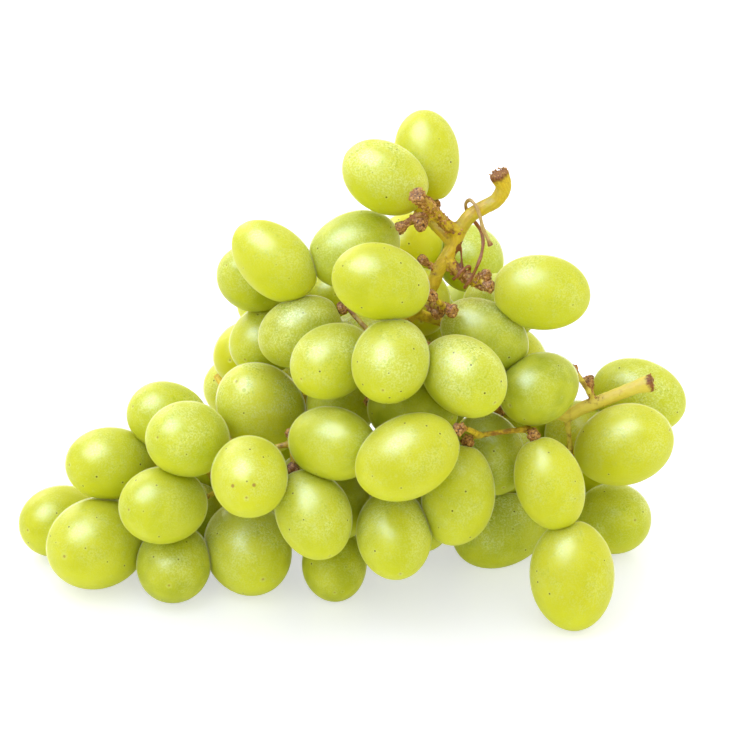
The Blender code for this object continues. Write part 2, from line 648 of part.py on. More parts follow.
def berry_object(name, collection, place, axis, width, length, spin, rests):
    """A faceted spheroid, cut flat where it rests on the surface."""
    mesh = bmesh.new()
    bmesh.ops.create_uvsphere(mesh, u_segments=BERRY_SIDES, v_segments=BERRY_RINGS, radius=1.0)
    size = Vector((width, width, length)) / 2 * FACET_GROWTH * MM
    turn = Vector(axis).to_track_quat("Z", "Y").to_matrix().to_4x4()
    matrix = Matrix.Translation(Vector(place) * MM) @ turn @ Matrix.Rotation(spin, 4, "Z")
    mesh.transform(matrix @ Matrix.Diagonal((*size, 1.0)))
    if rests:
        everything = mesh.verts[:] + mesh.edges[:] + mesh.faces[:]
        cut = bmesh.ops.bisect_plane(mesh, geom=everything, plane_co=(0, 0, 0),
                                     plane_no=(0, 0, -1), clear_outer=True, dist=CUT_MERGE)
        rim = [item for item in cut["geom_cut"] if isinstance(item, bmesh.types.BMEdge)]
        bmesh.ops.contextual_create(mesh, geom=rim)
        bmesh.ops.recalc_face_normals(mesh, faces=mesh.faces[:])
    data = bpy.data.meshes.new(name)
    mesh.to_mesh(data)
    mesh.free()
    berry = bpy.data.objects.new(name, data)
    collection.objects.link(berry)
    return berry


def tube_object(name, collection, path, radii, resolution):
    """A stem: a curve with round sections, turned into a mesh with its end caps welded."""
    curve = bpy.data.curves.new(name, "CURVE")
    curve.dimensions = "3D"
    curve.bevel_depth = MM
    curve.bevel_resolution = resolution
    curve.use_fill_caps = True
    spline = curve.splines.new("POLY")
    spline.points.add(len(path) - 1)
    for point, place, radius in zip(spline.points, path, radii):
        point.co = (*(place * MM), 1.0)
        point.radius = radius
    drawn = bpy.data.objects.new(name + "_curve", curve)
    collection.objects.link(drawn)
    depsgraph = bpy.context.evaluated_depsgraph_get()
    data = bpy.data.meshes.new_from_object(drawn.evaluated_get(depsgraph))
    mesh = bmesh.new()
    mesh.from_mesh(data)
    bmesh.ops.remove_doubles(mesh, verts=mesh.verts[:], dist=WELD)
    bmesh.ops.recalc_face_normals(mesh, faces=mesh.faces[:])
    mesh.to_mesh(data)
    mesh.free()
    tube = bpy.data.objects.new(name, data)
    tube.matrix_world = drawn.matrix_world
    collection.objects.link(tube)
    bpy.data.objects.remove(drawn)
    bpy.data.curves.remove(curve)
    return tube


def join_pieces(name, pieces, parts, material):
    """Fuses overlapping pieces into one body, by one Boolean union on a collection."""
    base = pieces[0]
    base.name = name
    if len(pieces) > 1:
        others = new_collection(name + "_pieces")
        for piece in pieces[1:]:
            for holder in list(piece.users_collection):
                holder.objects.unlink(piece)
            others.objects.link(piece)
        union = base.modifiers.new("join", "BOOLEAN")
        union.operation = "UNION"
        union.operand_type = "COLLECTION"
        union.collection = others
        union.solver = "EXACT"
        depsgraph = bpy.context.evaluated_depsgraph_get()
        joined = bpy.data.meshes.new_from_object(base.evaluated_get(depsgraph))
        base.modifiers.clear()
        base.data = joined
        for piece in list(others.objects):
            bpy.data.objects.remove(piece)
        bpy.data.collections.remove(others)
    for holder in list(base.users_collection):
        holder.objects.unlink(base)
    parts.objects.link(base)
    base.data.name = name
    base.data.materials.clear()
    base.data.materials.append(material)
    base.data.shade_smooth()
    base.data.set_sharp_from_angle(angle=SHARP_EDGE)
    return base


def build_sprays(heap, spray_of, workshop, parts):
    """One node for each spray: its berries pressed into one body."""
    spin = np.random.default_rng(SEED)
    for k, name in enumerate(SPRAYS):
        pieces = []
        for i in np.nonzero(spray_of == k)[0]:
            pieces.append(berry_object(f"{name}_{i}", workshop, heap.place[i], heap.axis[i], heap.width[i],
                                       heap.length[i], spin.uniform(0, 2 * math.pi), heap.rests[i]))
        join_pieces(name, pieces, parts, new_material(name, BERRY_FINISH))


def collar_radii(count, radius, knob):
    """A thin berry stalk that widens to a collar at its end."""
    return [radius * COLLAR_ENDS] + [radius] * (count - 3) + [knob, knob * COLLAR_ENDS]


def with_collar(path):
    """The path with a point added in its last step, where the collar is widest."""
    widest = path[-2] * (1 - COLLAR_WIDEST) + path[-1] * COLLAR_WIDEST
    return np.vstack([path[:-1], widest, path[-1]])


def grow_empty_stalks(stems, shift):
    """The empty stalks' paths, each from the nearest stem, which berry stalks may then start from."""
    paths = []
    for _, _, route in EMPTY_STALKS:
        path = np.array([from_view(*point) - shift for point in route])
        path[0] = stems.bead[np.linalg.norm(stems.bead - path[0], axis=1).argmin()]
        stems.bead = np.vstack([stems.bead, path[1:-1]])
        paths.append(path)
    return paths


def build_stalk(heap, stems, empty_paths, workshop, parts):
    """The woody stalk in one piece: main stem, side stems, and the berry stalks with their collars."""
    pieces = []
    for k, (start, stop) in enumerate(stems.chains):
        steps = 2 if k < SMOOTH_STEMS else 1
        path = smooth_path(stems.bead[start:stop], steps)
        shares = np.linspace(0, 1, stop - start)
        radii = np.interp(np.linspace(0, 1, len(path)), shares, stems.radius[start:stop])
        radii[0] *= CUT_END_FLARE if k < SMOOTH_STEMS else BLIND_END
        pieces.append(tube_object(f"stem_{k}", workshop, path, radii, 2 if k == 0 else 1))
    for k, path in enumerate(empty_paths):
        radius, knob, _ = EMPTY_STALKS[k]
        path = with_collar(path)
        radii = np.array(collar_radii(len(path), radius, knob))
        radii[1:-2] *= np.linspace(1.0, EMPTY_STALK_TAPER, len(path) - 3)
        pieces.append(tube_object(f"empty_stalk_{k}", workshop, path, radii, 1))
    for k, path in enumerate(grow_berry_stalks(heap, stems)):
        path = with_collar(path)
        radii = collar_radii(len(path), BERRY_STALK_RADIUS, COLLAR_RADIUS)
        pieces.append(tube_object(f"berry_stalk_{k}", workshop, path, radii, 0))
    join_pieces("stalk", pieces, parts, new_material("stalk", STALK_FINISH))


def tendril_route(empty_paths, shift):
    """The tendril's route, whose coil goes in front of the stalk, below it, behind it and over it."""
    route = [from_view(*point) - shift for point in TENDRIL]
    line = beads_along(empty_paths[COIL_STALK], COIL_SPACING)
    for step in range(COIL_POINTS + 1):
        share = step / COIL_POINTS
        spot = round(np.interp(share, (0.0, 1.0), COIL_SPAN) * (len(line) - 1))
        along = line[spot + 1] - line[spot - 1]
        along /= np.linalg.norm(along)
        front = TOWARD - (TOWARD @ along) * along
        front /= np.linalg.norm(front)
        below = np.cross(along, front)
        angle = 2 * math.pi * COIL_TURNS * share
        route.append(line[spot] + COIL_REACH * (math.cos(angle) * front + math.sin(angle) * below))
    return route


def build_tendril(empty_paths, shift, workshop, parts):
    path = smooth_path(tendril_route(empty_paths, shift), 2)
    radii = np.linspace(TENDRIL_RADIUS, TENDRIL_END_RADIUS, len(path))
    tendril = tube_object("tendril", workshop, path, radii, 1)
    join_pieces("tendril", [tendril], parts, new_material("tendril", TENDRIL_FINISH))


def main():
    for leftover in list(bpy.data.objects):
        bpy.data.objects.remove(leftover)
    parts = new_collection(OBJECT_NAME)
    workshop = new_collection("workshop")
    heap, stems, spray_of = lay_out()[:3]
    shift = middle_of(heap)
    heap.place = heap.place - shift
    stems.bead = stems.bead - shift
    build_sprays(heap, spray_of, workshop, parts)
    empty_paths = grow_empty_stalks(stems, shift)
    build_stalk(heap, stems, empty_paths, workshop, parts)
    build_tendril(empty_paths, shift, workshop, parts)


main()
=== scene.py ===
import math

import bpy
import bmesh
import numpy as np
from mathutils import Matrix, Vector, noise
from mathutils.kdtree import KDTree


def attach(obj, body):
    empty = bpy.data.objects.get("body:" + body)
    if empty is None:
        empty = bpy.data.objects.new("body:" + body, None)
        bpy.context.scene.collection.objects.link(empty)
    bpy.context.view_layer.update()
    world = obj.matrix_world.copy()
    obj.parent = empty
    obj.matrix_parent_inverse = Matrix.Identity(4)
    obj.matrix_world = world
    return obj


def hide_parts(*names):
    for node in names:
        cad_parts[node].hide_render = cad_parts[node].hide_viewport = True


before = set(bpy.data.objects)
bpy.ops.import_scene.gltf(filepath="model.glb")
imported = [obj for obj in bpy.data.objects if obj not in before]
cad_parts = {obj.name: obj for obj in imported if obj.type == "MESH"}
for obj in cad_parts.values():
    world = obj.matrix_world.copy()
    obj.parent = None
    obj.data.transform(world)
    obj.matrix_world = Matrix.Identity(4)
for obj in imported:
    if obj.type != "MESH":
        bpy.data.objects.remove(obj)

MM = 0.001
SEED = 15

# How the berries were measured: across and up as they are seen from a little above, with the
# viewer in front of the bunch, on the -Y side.
VIEW_TILT = math.radians(25.0)
VIEW_DISTANCE = 700.0
VIEW_AIM = np.array([3.5, 0.0, 47.6])

# Berries
LENGTH_TO_WIDTH = 1.30
PRESS = 1.5             # overlap of two berries that press against each other
APART = 0.65            # least gap between berries that don't
FLAT_SPOT = 0.6         # how far a resting berry is pressed flat
OFF_FLOOR = 1.4         # least height of the other berries over the surface

# Stalk
MAIN_RADIUS = 1.95
MAIN_END_RADIUS = 1.2
WING_RADIUS = 1.8
SIDE_RADIUS = 1.5
SIDE_END_RADIUS = 1.0
BERRY_STALK_RADIUS = 0.65
COLLAR_RADIUS = 1.55
COLLAR_LENGTH = 1.4
COLLAR_GAP = 0.3        # least gap between a collar and the other berries
STEM_GAP = 0.4          # least gap between a stem and a berry
TIGHT_GAP = 0.25        # the same for a berry stalk, between the points it is worked out at
BEAD_SPACING = 4.0      # between the points that a stem is worked out at
LONGEST_BERRY_STALK = 26.0
SHORT_BERRY_STALK = 14.0
STALK_STRAIGHT = 3.0    # a berry stalk meets its berry straight on for this far
STALK_POINTS = (4, 6)   # of a short and a long berry stalk
STALK_BENDS = 60        # rounds of bending a berry stalk clear
SPARE_GAP = 0.1         # room that a berry stalk is bent clear by, beyond the least gap
STALK_PUSH = 0.7
STALK_EVEN = 0.15
CHECK_SPACING = 1.0
ROOT_POINTS = 2         # of the checked points, these lie in the stem that the stalk starts from
TENDRIL_RADIUS = 0.5
TENDRIL_END_RADIUS = 0.4
COIL_STALK = 3          # the tendril ends coiled round this empty stalk
COIL_REACH = 2.55       # from the stalk's middle to the tendril's
COIL_TURNS = 1.2
COIL_SPAN = (0.74, 0.40)    # shares of that stalk's length between which it coils
COIL_POINTS = 10
COIL_SPACING = 0.25
SMOOTH_STEMS = 2        # the main stem and the wing stem, which show their cut ends
CUT_END_FLARE = 1.3

# Where the hidden berries may lie: an oval heap behind the ones that are seen
HEAP_MIDDLE = np.array([5.0, -8.0, 44.0])
HEAP_REACH = np.array([82.0, 53.0, 60.0])
HEAP_CORE = 0.20        # no berries nearer the middle than this share, where the stems run
HEAP_EDGE = 0.97
FLOOR_DRAWS = 2500
HEAP_DRAWS = 9000
FLOOR_HEIGHT = 9.0      # of a resting berry's middle, near enough to judge where it may lie
LOWEST_MIDDLE = 12.0    # of the hidden berries that don't rest
HIDDEN_WIDTH = (17.5, 20.5)
HIDDEN_STRETCH = (1.15, 1.35)
LEAN_SCATTER = 0.45     # how far hidden berries' tips stray from pointing outwards
RESTING_LEAN = 0.4
CLOSEST_FIT = -2.0      # a berry may be drawn this far into its neighbour, to be pushed out
LOOSEST_FIT = 5.0
LEAST_HIDDEN = 0.97

# How the berries settle
TOUCHING_RANGE = 34.0   # berries with their middles further apart than this never touch
SETTLE_STEPS = 250
FILL_STEPS = 120
FILL_ROUNDS = 2
GATHER_ROUNDS = 3
PRESS_WEIGHT = 1.6
HOLD = 0.55             # how firmly a seen berry keeps its place in the picture
PRESSED_HOLD = 0.15     # the same while sprays are pressed together
HOLD_PULL = 0.2
STEP_SHARE = 0.55       # the share of an overlap that one step takes away
GIVE_DEPTH = 20.0       # of two seen berries this far apart in depth, only the one behind moves
LEAST_GIVE = 0.12
SEEN_GIVE = 0.15        # a seen berry's share of the way, beside a hidden one
STEM_GIVE = 0.5         # a stem's share of the way, beside a berry
STEM_STEP = 0.5
STEM_EVEN = 0.25
STEM_PULL = 0.01
FAR_BERRY_COST = 0.18   # a berry far from a side stem's end joins that spray less readily
NO_MATCH = 1e9
TINY = 1e-9
DEPTH_ROUNDS = 12       # to find the depth at which a berry rests
OUTLINE_SAMPLES = 16    # points on a berry's outline where it is tested for being hidden
MIX_SHARES = np.linspace(0.05, 0.95, 19)    # of one shape in the other, where touching is worked out

# The berries that show from the front, row by row from the top. Each is
# (across, up, depth, width, length as seen, direction its tip points in degrees).
# Depth grows away from the viewer. FLOOR means that the berry rests on the surface.
FLOOR = None
SEEN_BERRIES = [
    # top and shoulders
    (19.0, 98.0, 4, 17.0, 24.0, 98),
    (8.0, 92.5, -8, 18.5, 24.0, 150),
    (0.5, 74.0, -14, 19.5, 25.0, 205),
    (14.5, 75.0, 8, 17.5, 18.5, 200),
    (7.0, 66.0, -28, 20.0, 25.5, 165),
    (-21.0, 71.0, -14, 18.0, 25.5, 137),
    (-26.0, 66.5, 0, 17.0, 19.5, 155),
    (-22.0, 59.5, -2, 16.0, 17.5, 180),
    (-14.0, 64.5, -6, 17.5, 18.5, 120),
    (-5.0, 61.5, -12, 17.5, 18.5, -160),
    (30.0, 71.5, 6, 18.0, 19.0, -60),
    (49.0, 63.0, -18, 19.5, 25.5, -6),
    (39.0, 60.0, -4, 17.5, 19.5, -20),
    (17.0, 60.5, -2, 17.0, 18.5, -90),
    (19.5, 54.5, 14, 17.5, 18.5, -90),
    # middle rows
    (-14.0, 52.5, -28, 18.0, 23.5, 208),
    (-22.5, 48.5, -20, 18.5, 21.0, 225),
    (-28.0, 45.5, -8, 18.5, 19.5, 200),
    (-30.5, 38.0, -2, 17.0, 18.0, 190),
    (-5.0, 45.0, -36, 19.5, 23.0, 210),
    (3.5, 49.0, -20, 17.5, 18.5, 200),
    (9.5, 44.5, -44, 20.5, 23.0, 255),
    (28.5, 41.0, -40, 20.0, 24.0, -40),
    (32.5, 51.0, -26, 18.0, 24.5, -30),
    (41.0, 42.0, -8, 18.0, 19.0, -40),
    (48.5, 37.5, -28, 18.5, 22.0, 208),
    (15.0, 32.0, -28, 19.5, 23.5, -10),
    (-2.5, 34.5, -24, 18.0, 19.5, 200),
    (-24.5, 32.5, -36, 23.0, 26.0, 130),
    (-5.5, 24.0, -42, 19.5, 23.5, -12),
    (14.0, 20.0, -54, 22.0, 28.5, 208),
    (36.0, 21.0, -22, 18.5, 22.0, -70),
    # right wing
    (74.5, 36.0, -2, 19.5, 25.0, -18),
    (70.0, 23.0, -22, 21.0, 26.0, 20),
    (57.5, 24.5, -8, 18.0, 19.0, -60),
    (50.5, 13.5, -46, 18.0, 25.0, -72),
    (67.0, 4.0, FLOOR, 18.5, 19.5, 0),
    (57.0, -11.5, FLOOR, 22.0, 29.0, -87),
    # lower rows
    (28.5, 11.0, -44, 19.5, 26.5, 260),
    (38.0, 1.0, FLOOR, 19.5, 25.5, -165),
    (9.0, -1.0, -44, 19.5, 23.0, -80),
    (17.0, 5.0, -24, 17.5, 19.5, -90),
    (-27.5, 15.0, -48, 20.5, 21.5, -90),
    (-28.5, -3.5, FLOOR, 22.5, 25.0, -60),
    (-10.5, 4.0, -50, 19.5, 24.5, -65),
    (-6.0, -8.5, FLOOR, 17.0, 19.0, -90),
    (-2.5, 11.5, -28, 17.5, 18.5, -90),
    # left tail
    (-46.5, 31.5, -18, 18.5, 22.0, 160),
    (-43.0, 25.0, -38, 20.0, 22.0, 175),
    (-64.0, 19.0, -24, 19.5, 23.5, 180),
    (-50.0, 7.0, -44, 20.5, 23.0, 185),
    (-67.5, -2.5, FLOOR, 24.0, 26.0, 200),
    (-76.0, 2.0, FLOOR, 18.5, 21.0, 195),
    (-46.0, -7.0, FLOOR, 19.5, 20.5, -90),
]

# Stems, as (across, up, depth) from the cut end inwards. The first points of a stem are seen, so they are
# held where they are, and the rest bends clear of the berries.
MAIN_STEM = [
    (37.6, 93.6, -10), (39.0, 90.6, -10), (38.2, 87.7, -10), (35.6, 85.4, -10), (31.6, 83.9, -10.5),
    (28.9, 81.4, -11), (27.2, 78.2, -11.5), (25.8, 74.8, -12), (23.6, 71.2, -13), (21.6, 67.8, -13),
    (20.6, 65.0, -13), (19.0, 60.0, -12), (14.0, 50.0, -6), (4.0, 41.0, 0), (-10.0, 33.0, 2),
    (-27.0, 25.0, 0), (-42.0, 19.0, -6), (-54.0, 13.0, -12),
]
MAIN_SEEN = 11
WING_STEM = [
    (77.4, 39.2, -14), (73.0, 38.0, -14.5), (67.8, 35.9, -15.5), (62.5, 33.8, -16.5),
    (57.5, 31.9, -17.5), (53.0, 29.6, -18), (46.0, 27.5, -15), (34.0, 31.0, -8), (19.0, 47.0, -6),
]
WING_SEEN = 6

# The empty berry stalks, whose berries have dropped: radius, radius of the knob at the end, and
# route as (across, up, depth). Each starts at the nearest stem, or at one that stands before it here.
EMPTY_STALKS = [
    (1.8, 2.0, [(26.0, 78.4, -12), (24.9, 79.6, -12.5), (21.9, 82.3, -14.5), (19.2, 84.9, -17),
                (17.5, 86.4, -19.5), (16.3, 87.9, -21)]),
    (1.2, 1.3, [(21.9, 82.1, -14.5), (19.4, 82.4, -15), (16.9, 82.5, -15.5), (14.4, 81.1, -15.5),
                (11.9, 79.4, -15.5)]),
    (1.0, 1.6, [(19.4, 82.0, -15), (18.5, 80.9, -16.5), (16.9, 80.0, -17.5)]),
    (1.8, 1.3, [(23.8, 70.4, -13), (26.5, 68.5, -13.8), (29.2, 66.7, -14.8), (31.8, 65.4, -16),
                (33.6, 64.6, -17)]),
    (1.1, 1.4, [(31.4, 65.6, -16), (33.0, 66.7, -17.5), (34.5, 67.1, -18.5)]),
    (1.4, 1.6, [(19.6, 62.5, -13), (18.6, 60.6, -17), (20.6, 59.7, -21), (23.4, 58.7, -25),
                (25.6, 57.8, -27.5)]),
    (1.1, 1.3, [(18.8, 60.4, -17.5), (19.9, 58.6, -20.5), (21.8, 57.0, -23.5)]),
    (0.85, 1.1, [(22.4, 68.8, -13), (19.6, 69.8, -13.5), (17.4, 71.3, -13.5)]),
    (0.9, 1.4, [(61.9, 33.6, -16.7), (61.5, 36.2, -16.8), (60.8, 39.1, -16)]),
]

# The dry tendril, as (across, up, depth) from its free end: over the main stem, back behind it and
# down to the empty stalk that it coils round
TENDRIL = [
    (35.5, 74.8, -15.5), (34.8, 76.4, -15.3), (33.5, 79.2, -15.0), (32.8, 82.0, -14.4), (31.8, 84.8, -13.4),
    (30.2, 86.6, -11.2), (29.0, 85.6, -8.6), (29.6, 83.2, -7.2), (31.0, 81.4, -8.0), (32.6, 79.2, -10.0),
    (33.5, 76.3, -12.6), (33.2, 73.0, -15.2), (32.2, 70.0, -17.4),
]

# Where each side stem ends, in the bunch's own frame, and the share of the main stem's length
# where it leaves. Its spray is made of the berries that gather round that end.
SPRAYS = {
    "berries_crown": ((14, 2, 100), 0.17),
    "berries_left": ((-20, 0, 64), 0.46),
    "berries_front": ((6, -26, 68), 0.38),
    "berries_right": ((36, -2, 62), 0.34),
    "berries_wing": ((62, -10, 32), None),
    "berries_foot": ((47, -34, 30), None),
    "berries_low": ((22, -24, 26), 0.52),
    "berries_middle": ((-12, -24, 32), 0.62),
    "berries_tail": ((-56, -24, 22), 1.0),
    "berries_back_top": ((8, 28, 62), 0.46),
    "berries_back_left": ((-36, 20, 34), 0.72),
    "berries_back_right": ((44, 24, 44), 0.50),
}

# Fine berries
FINE_SIDES = 48
FINE_BANDS = 52
END_CROWDING = 0.38     # how much closer the bands lie at a berry's two ends
FULLER_TIP = (-0.03, 0.06)
FLATTEST = 0.97
LUMP_WAVES = 3
LUMP_FREQUENCY = 1.6
LUMP_HEIGHT = 0.006
BOW = 0.5
SCAR_RADIUS = 0.85
SCAR_RIM = 0.05
SCAR_RIM_WIDTH = 0.3
SCAR_DEPTH = 0.15
SCAR_HOLLOW = 0.5
DIMPLE_DEPTH = 0.7
DIMPLE_RADIUS = 1.9
RIM_SOFTNESS = 0.015    # of a flattened spot, as a share of the berry's radius
SKIN_GAP = 0.002        # between two pressed berries, as the same share
FLOOR_CLEARANCE = 0.03
FAR_REACH = 4.0
LEAST_DROP = 1e-6       # of a ray towards the surface

# How yellow, how dusted with bloom and how dark the seen berries are, from 0 to 1, by their row in the table
# of seen berries. The darkness is partly a darker green of their own and partly painted shade on the low
# berries near the surface; some dusted values are raised to lighten berries that lie in shade.
SEEN_CHARACTER = {
    0: (0.7, 0.5, 0.1), 1: (0.6, 0.9, 0.1), 2: (0.2, 0.6, 0.5), 3: (1.0, 0.1, 0.0), 4: (0.6, 0.4, 0.3),
    5: (0.6, 0.5, 0.0), 11: (0.6, 0.7, 0.1), 20: (0.1, 0.9, 0.5), 21: (0.6, 0.8, 0.2), 22: (0.5, 1.0, 0.2),
    23: (0.2, 0.8, 1.0), 24: (0.9, 0.6, 0.0), 26: (0.3, 0.2, 1.0), 27: (0.4, 0.4, 0.5), 28: (0.7, 0.9, 0.0),
    29: (0.5, 0.4, 0.5), 30: (0.8, 0.5, 0.2), 31: (0.3, 0.6, 0.8), 32: (0.5, 0.8, 0.2), 33: (0.8, 0.6, 0.1),
    34: (0.9, 0.7, 0.0), 35: (0.8, 0.6, 0.1), 36: (0.5, 0.9, 0.4), 37: (0.9, 0.5, 0.1), 38: (0.6, 0.5, 0.4),
    39: (0.3, 1.0, 0.6), 40: (0.6, 0.6, 0.3), 41: (0.5, 0.3, 1.0), 42: (0.7, 0.5, 0.1), 43: (0.6, 0.7, 0.3),
    44: (0.6, 0.7, 0.3), 45: (0.7, 0.4, 1.0), 46: (0.6, 0.2, 1.0), 47: (0.5, 0.8, 0.2), 48: (0.4, 0.8, 0.2),
    49: (0.6, 0.5, 0.2), 50: (0.5, 0.4, 0.3), 51: (0.7, 0.4, 0.2), 52: (0.8, 0.3, 0.4), 53: (0.6, 0.5, 1.0),
}

# Marks that single berries show, which follow their row: across, up, radius, colour and strength
MARK_BROWN = (0.36, 0.22, 0.07, 1.0)
MARK_PALE = (0.86, 0.90, 0.42, 1.0)
MARK_GREEN = (0.46, 0.52, 0.03, 1.0)
MARKS = [
    (42, -31.5, 12.4, 0.50, MARK_BROWN, 0.9),
    (42, -26.0, 12.6, 0.50, MARK_BROWN, 0.9),
    (28, -28.6, 37.3, 1.05, MARK_PALE, 0.8),
    (28, -28.6, 37.3, 0.60, MARK_GREEN, 0.9),
]

# Fine wood
FINE_STEPS = 8          # of a smooth curve, between two points of a stem's route
COARSE_STEPS = 3        # the same for a berry stalk
TUBE_ROUNDNESS = 3
CORE_ROUNDNESS = 2
SIDE_REFERENCE = np.array([0.31, 0.11, 0.94])
SEEN_STEM_BROWN = 0.0
SIDE_BROWN = 0.25
CUT_FLARE = 0.32
CUT_FLARE_REACH = 3.0
CUT_BROWN_REACH = 1.5
FORK_SWELLING = 0.15
FORK_REACH = 3.0
STUMP_STOPS = (0, 0.3, 1)         # shares of an empty stalk's length, from its root to its knob
STUMP_TAPER = (1.0, 0.9, 0.85)    # and how thick it is there
STUMP_BROWN = (0.35, 0.5)         # at the root, and how much more at the knob
STALK_STOPS = (0, 0.15, 0.7, 1)   # the same for a berry stalk
BERRY_STALK_RADII = (1.05, 0.75, 0.7, 0.95)
STALK_BROWN = (0.3, 0.6)
SPLINTER = [(27.8, 74.4, -12.4), (27.9, 72.6, -12.9), (28.0, 70.9, -13.5), (28.1, 69.0, -14.3)]
SPLINTER_RADII = (0.28, 0.36, 0.36, 0.45)
BARK_LUMP = 1.3
BARK_HEIGHT = 0.10
BARK_SHIFT = 3.0        # to another part of the noise

# Skins that melt overlapping bodies into one: size of their smallest detail, rounds of smoothing
STEM_SKIN = (0.36, 3)
COLLAR_SKIN = (0.15, 1)
TENDRIL_SKIN = (0.16, 2)
SMOOTHING = 0.5

# Warty collars, crusts and frayed ends. A collar's stops are (place along it, radius).
COLLAR_STOPS = ((-2.0, 0.75), (-1.2, 1.05), (-0.5, 1.45), (0.05, 1.5), (0.55, 1.15))
WIDEST_COLLAR = 1.5
WARTS_A_COLLAR = 110
WART_RADIUS = (0.20, 0.42)
WART_ROUNDNESS = 2
CAPPED_SHARE = 0.25     # of a collar's warts, on its end
HIGHEST_WART = 3        # height over a wart's middle, in its radii, that still counts
CREVICE_WIDTH = 0.12
CRUST_SPACING = 0.08
FRAYED_WARTS = 46
FRAYED_RADIUS = (0.12, 0.27)
FRAYED_REACH = (0.75, 1.05)
FRAYED_ALONG = (-0.1, 0.5)

# Fine tendril
TENDRIL_UNEVEN = 0.12
TENDRIL_WAVES = 90.0
TENDRIL_FOOT = 0.5      # the free end is this much thicker
TENDRIL_FOOT_SHARE = 0.015
TENDRIL_BROWN = ((0.0, 0.02, 0.05, 0.26, 0.34, 1.0), (0.9, 0.6, 0.1, 0.2, 0.7, 0.95))   # along it

# Colours of the berries
GREEN_FLESH = (0.475, 0.57, 0.004, 1.0)
YELLOW_FLESH = (0.615, 0.61, 0.003, 1.0)
# darker green, partly the berries' own colour and partly painted shade
DARK_AND_SHADED_FLESH = (0.33, 0.375, 0.001, 1.0)
LIT_FLESH = (0.70, 0.72, 0.05, 1.0)
# painted light on what faces down, for the glow through the flesh and the light off the table
PAINTED_GLOW_BELOW = (0.65, 0.68, 0.002, 1.0)
BLOOM = (0.80, 0.87, 0.52, 1.0)
FRESH_DOT = (0.34, 0.44, 0.006, 1.0)
RIM_LIGHT = (0.97, 1.0, 0.74, 1.0)
PORE = (0.07, 0.045, 0.008, 1.0)
SCAR = (0.34, 0.20, 0.06, 1.0)
STALK_END = (0.55, 0.52, 0.06, 1.0)

# Colours of the wood and the table
STRAW_PALE = (0.96, 0.83, 0.20, 1.0)
STRAW = (0.88, 0.68, 0.05, 1.0)
STRAW_DARK = (0.75, 0.51, 0.025, 1.0)
OLIVE = (0.46, 0.44, 0.06, 1.0)
OLIVE_DARK = (0.20, 0.18, 0.04, 1.0)
RUST = (0.42, 0.17, 0.035, 1.0)
RUST_DARK = (0.20, 0.075, 0.02, 1.0)
WART_PALE = (0.76, 0.43, 0.15, 1.0)
# painted shade for the crevices between warts
CREVICE_SHADE = (0.09, 0.035, 0.012, 1.0)
TENDRIL_PALE = (0.72, 0.52, 0.24, 1.0)
TENDRIL_TAN = (0.55, 0.36, 0.13, 1.0)
TENDRIL_RED = (0.48, 0.20, 0.07, 1.0)
TENDRIL_DARK = (0.28, 0.10, 0.035, 1.0)
TABLE_WHITE = (0.68, 0.68, 0.94, 1.0)
TABLE_COOL = (0.67, 0.68, 0.95, 1.0)
TABLE_LIGHT = (0.24, 0.25, 0.07, 1.0)     # what the table gives off towards the bunch
TABLE_SHOWN = (0.49, 0.49, 0.55, 1.0)     # and how much paler it shows

# Patches on a surface: size in millimetres, detail, and the noise between which they fade in
CLOUDS = (7.0, 2.0, 0.35, 0.65)
DUSTED_PATCHES = (9.0, 4.0, 0.42, 0.62)
DUST_GRAINS = (0.45, 2.0, 0.46, 0.58)
RUBBED_PATCHES = (4.5, 2.0, 0.48, 0.62)
FRESH_DOTS = (0.62, 1.0, 0.54, 0.61)
BARK_STAINS = (2.6, 4.0, 0.42, 0.66)
BARK_GREENS = (9.0, 2.0, 0.45, 0.7)
MOULD = (1.6, 3.0, 0.5, 0.7)
FLECKS = (0.35, 2.0, 0.55, 0.75)
TENDRIL_STAINS = (1.8, 3.0, 0.4, 0.7)
TABLE_HAZE = (120.0, 2.0, 0.3, 0.7)
PATCH_ROUGHNESS = 0.6

# Pores: spacing and radius. Their edges and rings are shares of the radius.
SKIN_PORES = {"Spacing": 3.3, "Radius": 0.30}
BARK_PORES = {"Spacing": 1.5, "Radius": 0.2}
PORE_EDGE = (1.0, 0.55)
PORE_CHANCE = (0.3, 0.55)
RING_OUTSIDE = (2.4, 1.3)
RING_INSIDE = (0.8, 1.2)

# Fibres along the wood: how far they are stretched, and how fine they are
BARK_FIBRES = {"Stretch": 0.1, "Fineness": 2.0}
TENDRIL_FIBRES = {"Stretch": 0.25, "Fineness": 4.5}
FIBRE_DETAIL = 4.0
FIBRE_ROUGHNESS = 0.65
FIBRE_EDGE = (0.35, 0.65)

# Berry skin. Covers are how strongly a layer hides the one below it. Reaches are from a berry's
# long axis, as shares of its radius. Heights are how far a surface faces up, from -1 to 1.
DARK_AND_SHADED_COVER = 0.75
CLOUD_COVER = 0.35
VEINS = 14
VEIN_NOISE = (2.0, 2.0, 0.5)            # its scale, detail and roughness
VEIN_WANDER = 5.0
VEIN_EDGE = (0.35, 0.0)
VEIN_BREAKS = (0.45, 0.7)
VEIN_COVER = 0.25
BLOOM_AND_TOP_HAZE_FACING = (-0.5, 0.7, 0.3, 1.0)    # paler on what faces up: real bloom, with a painted haze of the light from above
BLOOM_UNEVEN = (0.65, 0.35)
BLOOM_COVER = 0.85
FRESH_COVER = 0.55
PAINTED_GLOW_FACING = (0.15, -0.65)
PAINTED_GLOW_COVER = (-0.5, 0.5)                 # less on a berry that is darker and shaded
MARK_EDGE = (1.2, 0.6)
PORE_RING_COVER = 0.12
PORE_COVER = 0.95
TIP_RING_REACH = (0.10, 0.06)
TIP_RING_COVER = 0.15
SCAR_REACH = (0.040, 0.02)
SCAR_COVER = 0.65
STALK_END_REACH = (0.32, 0.12)
STALK_END_COVER = 0.6
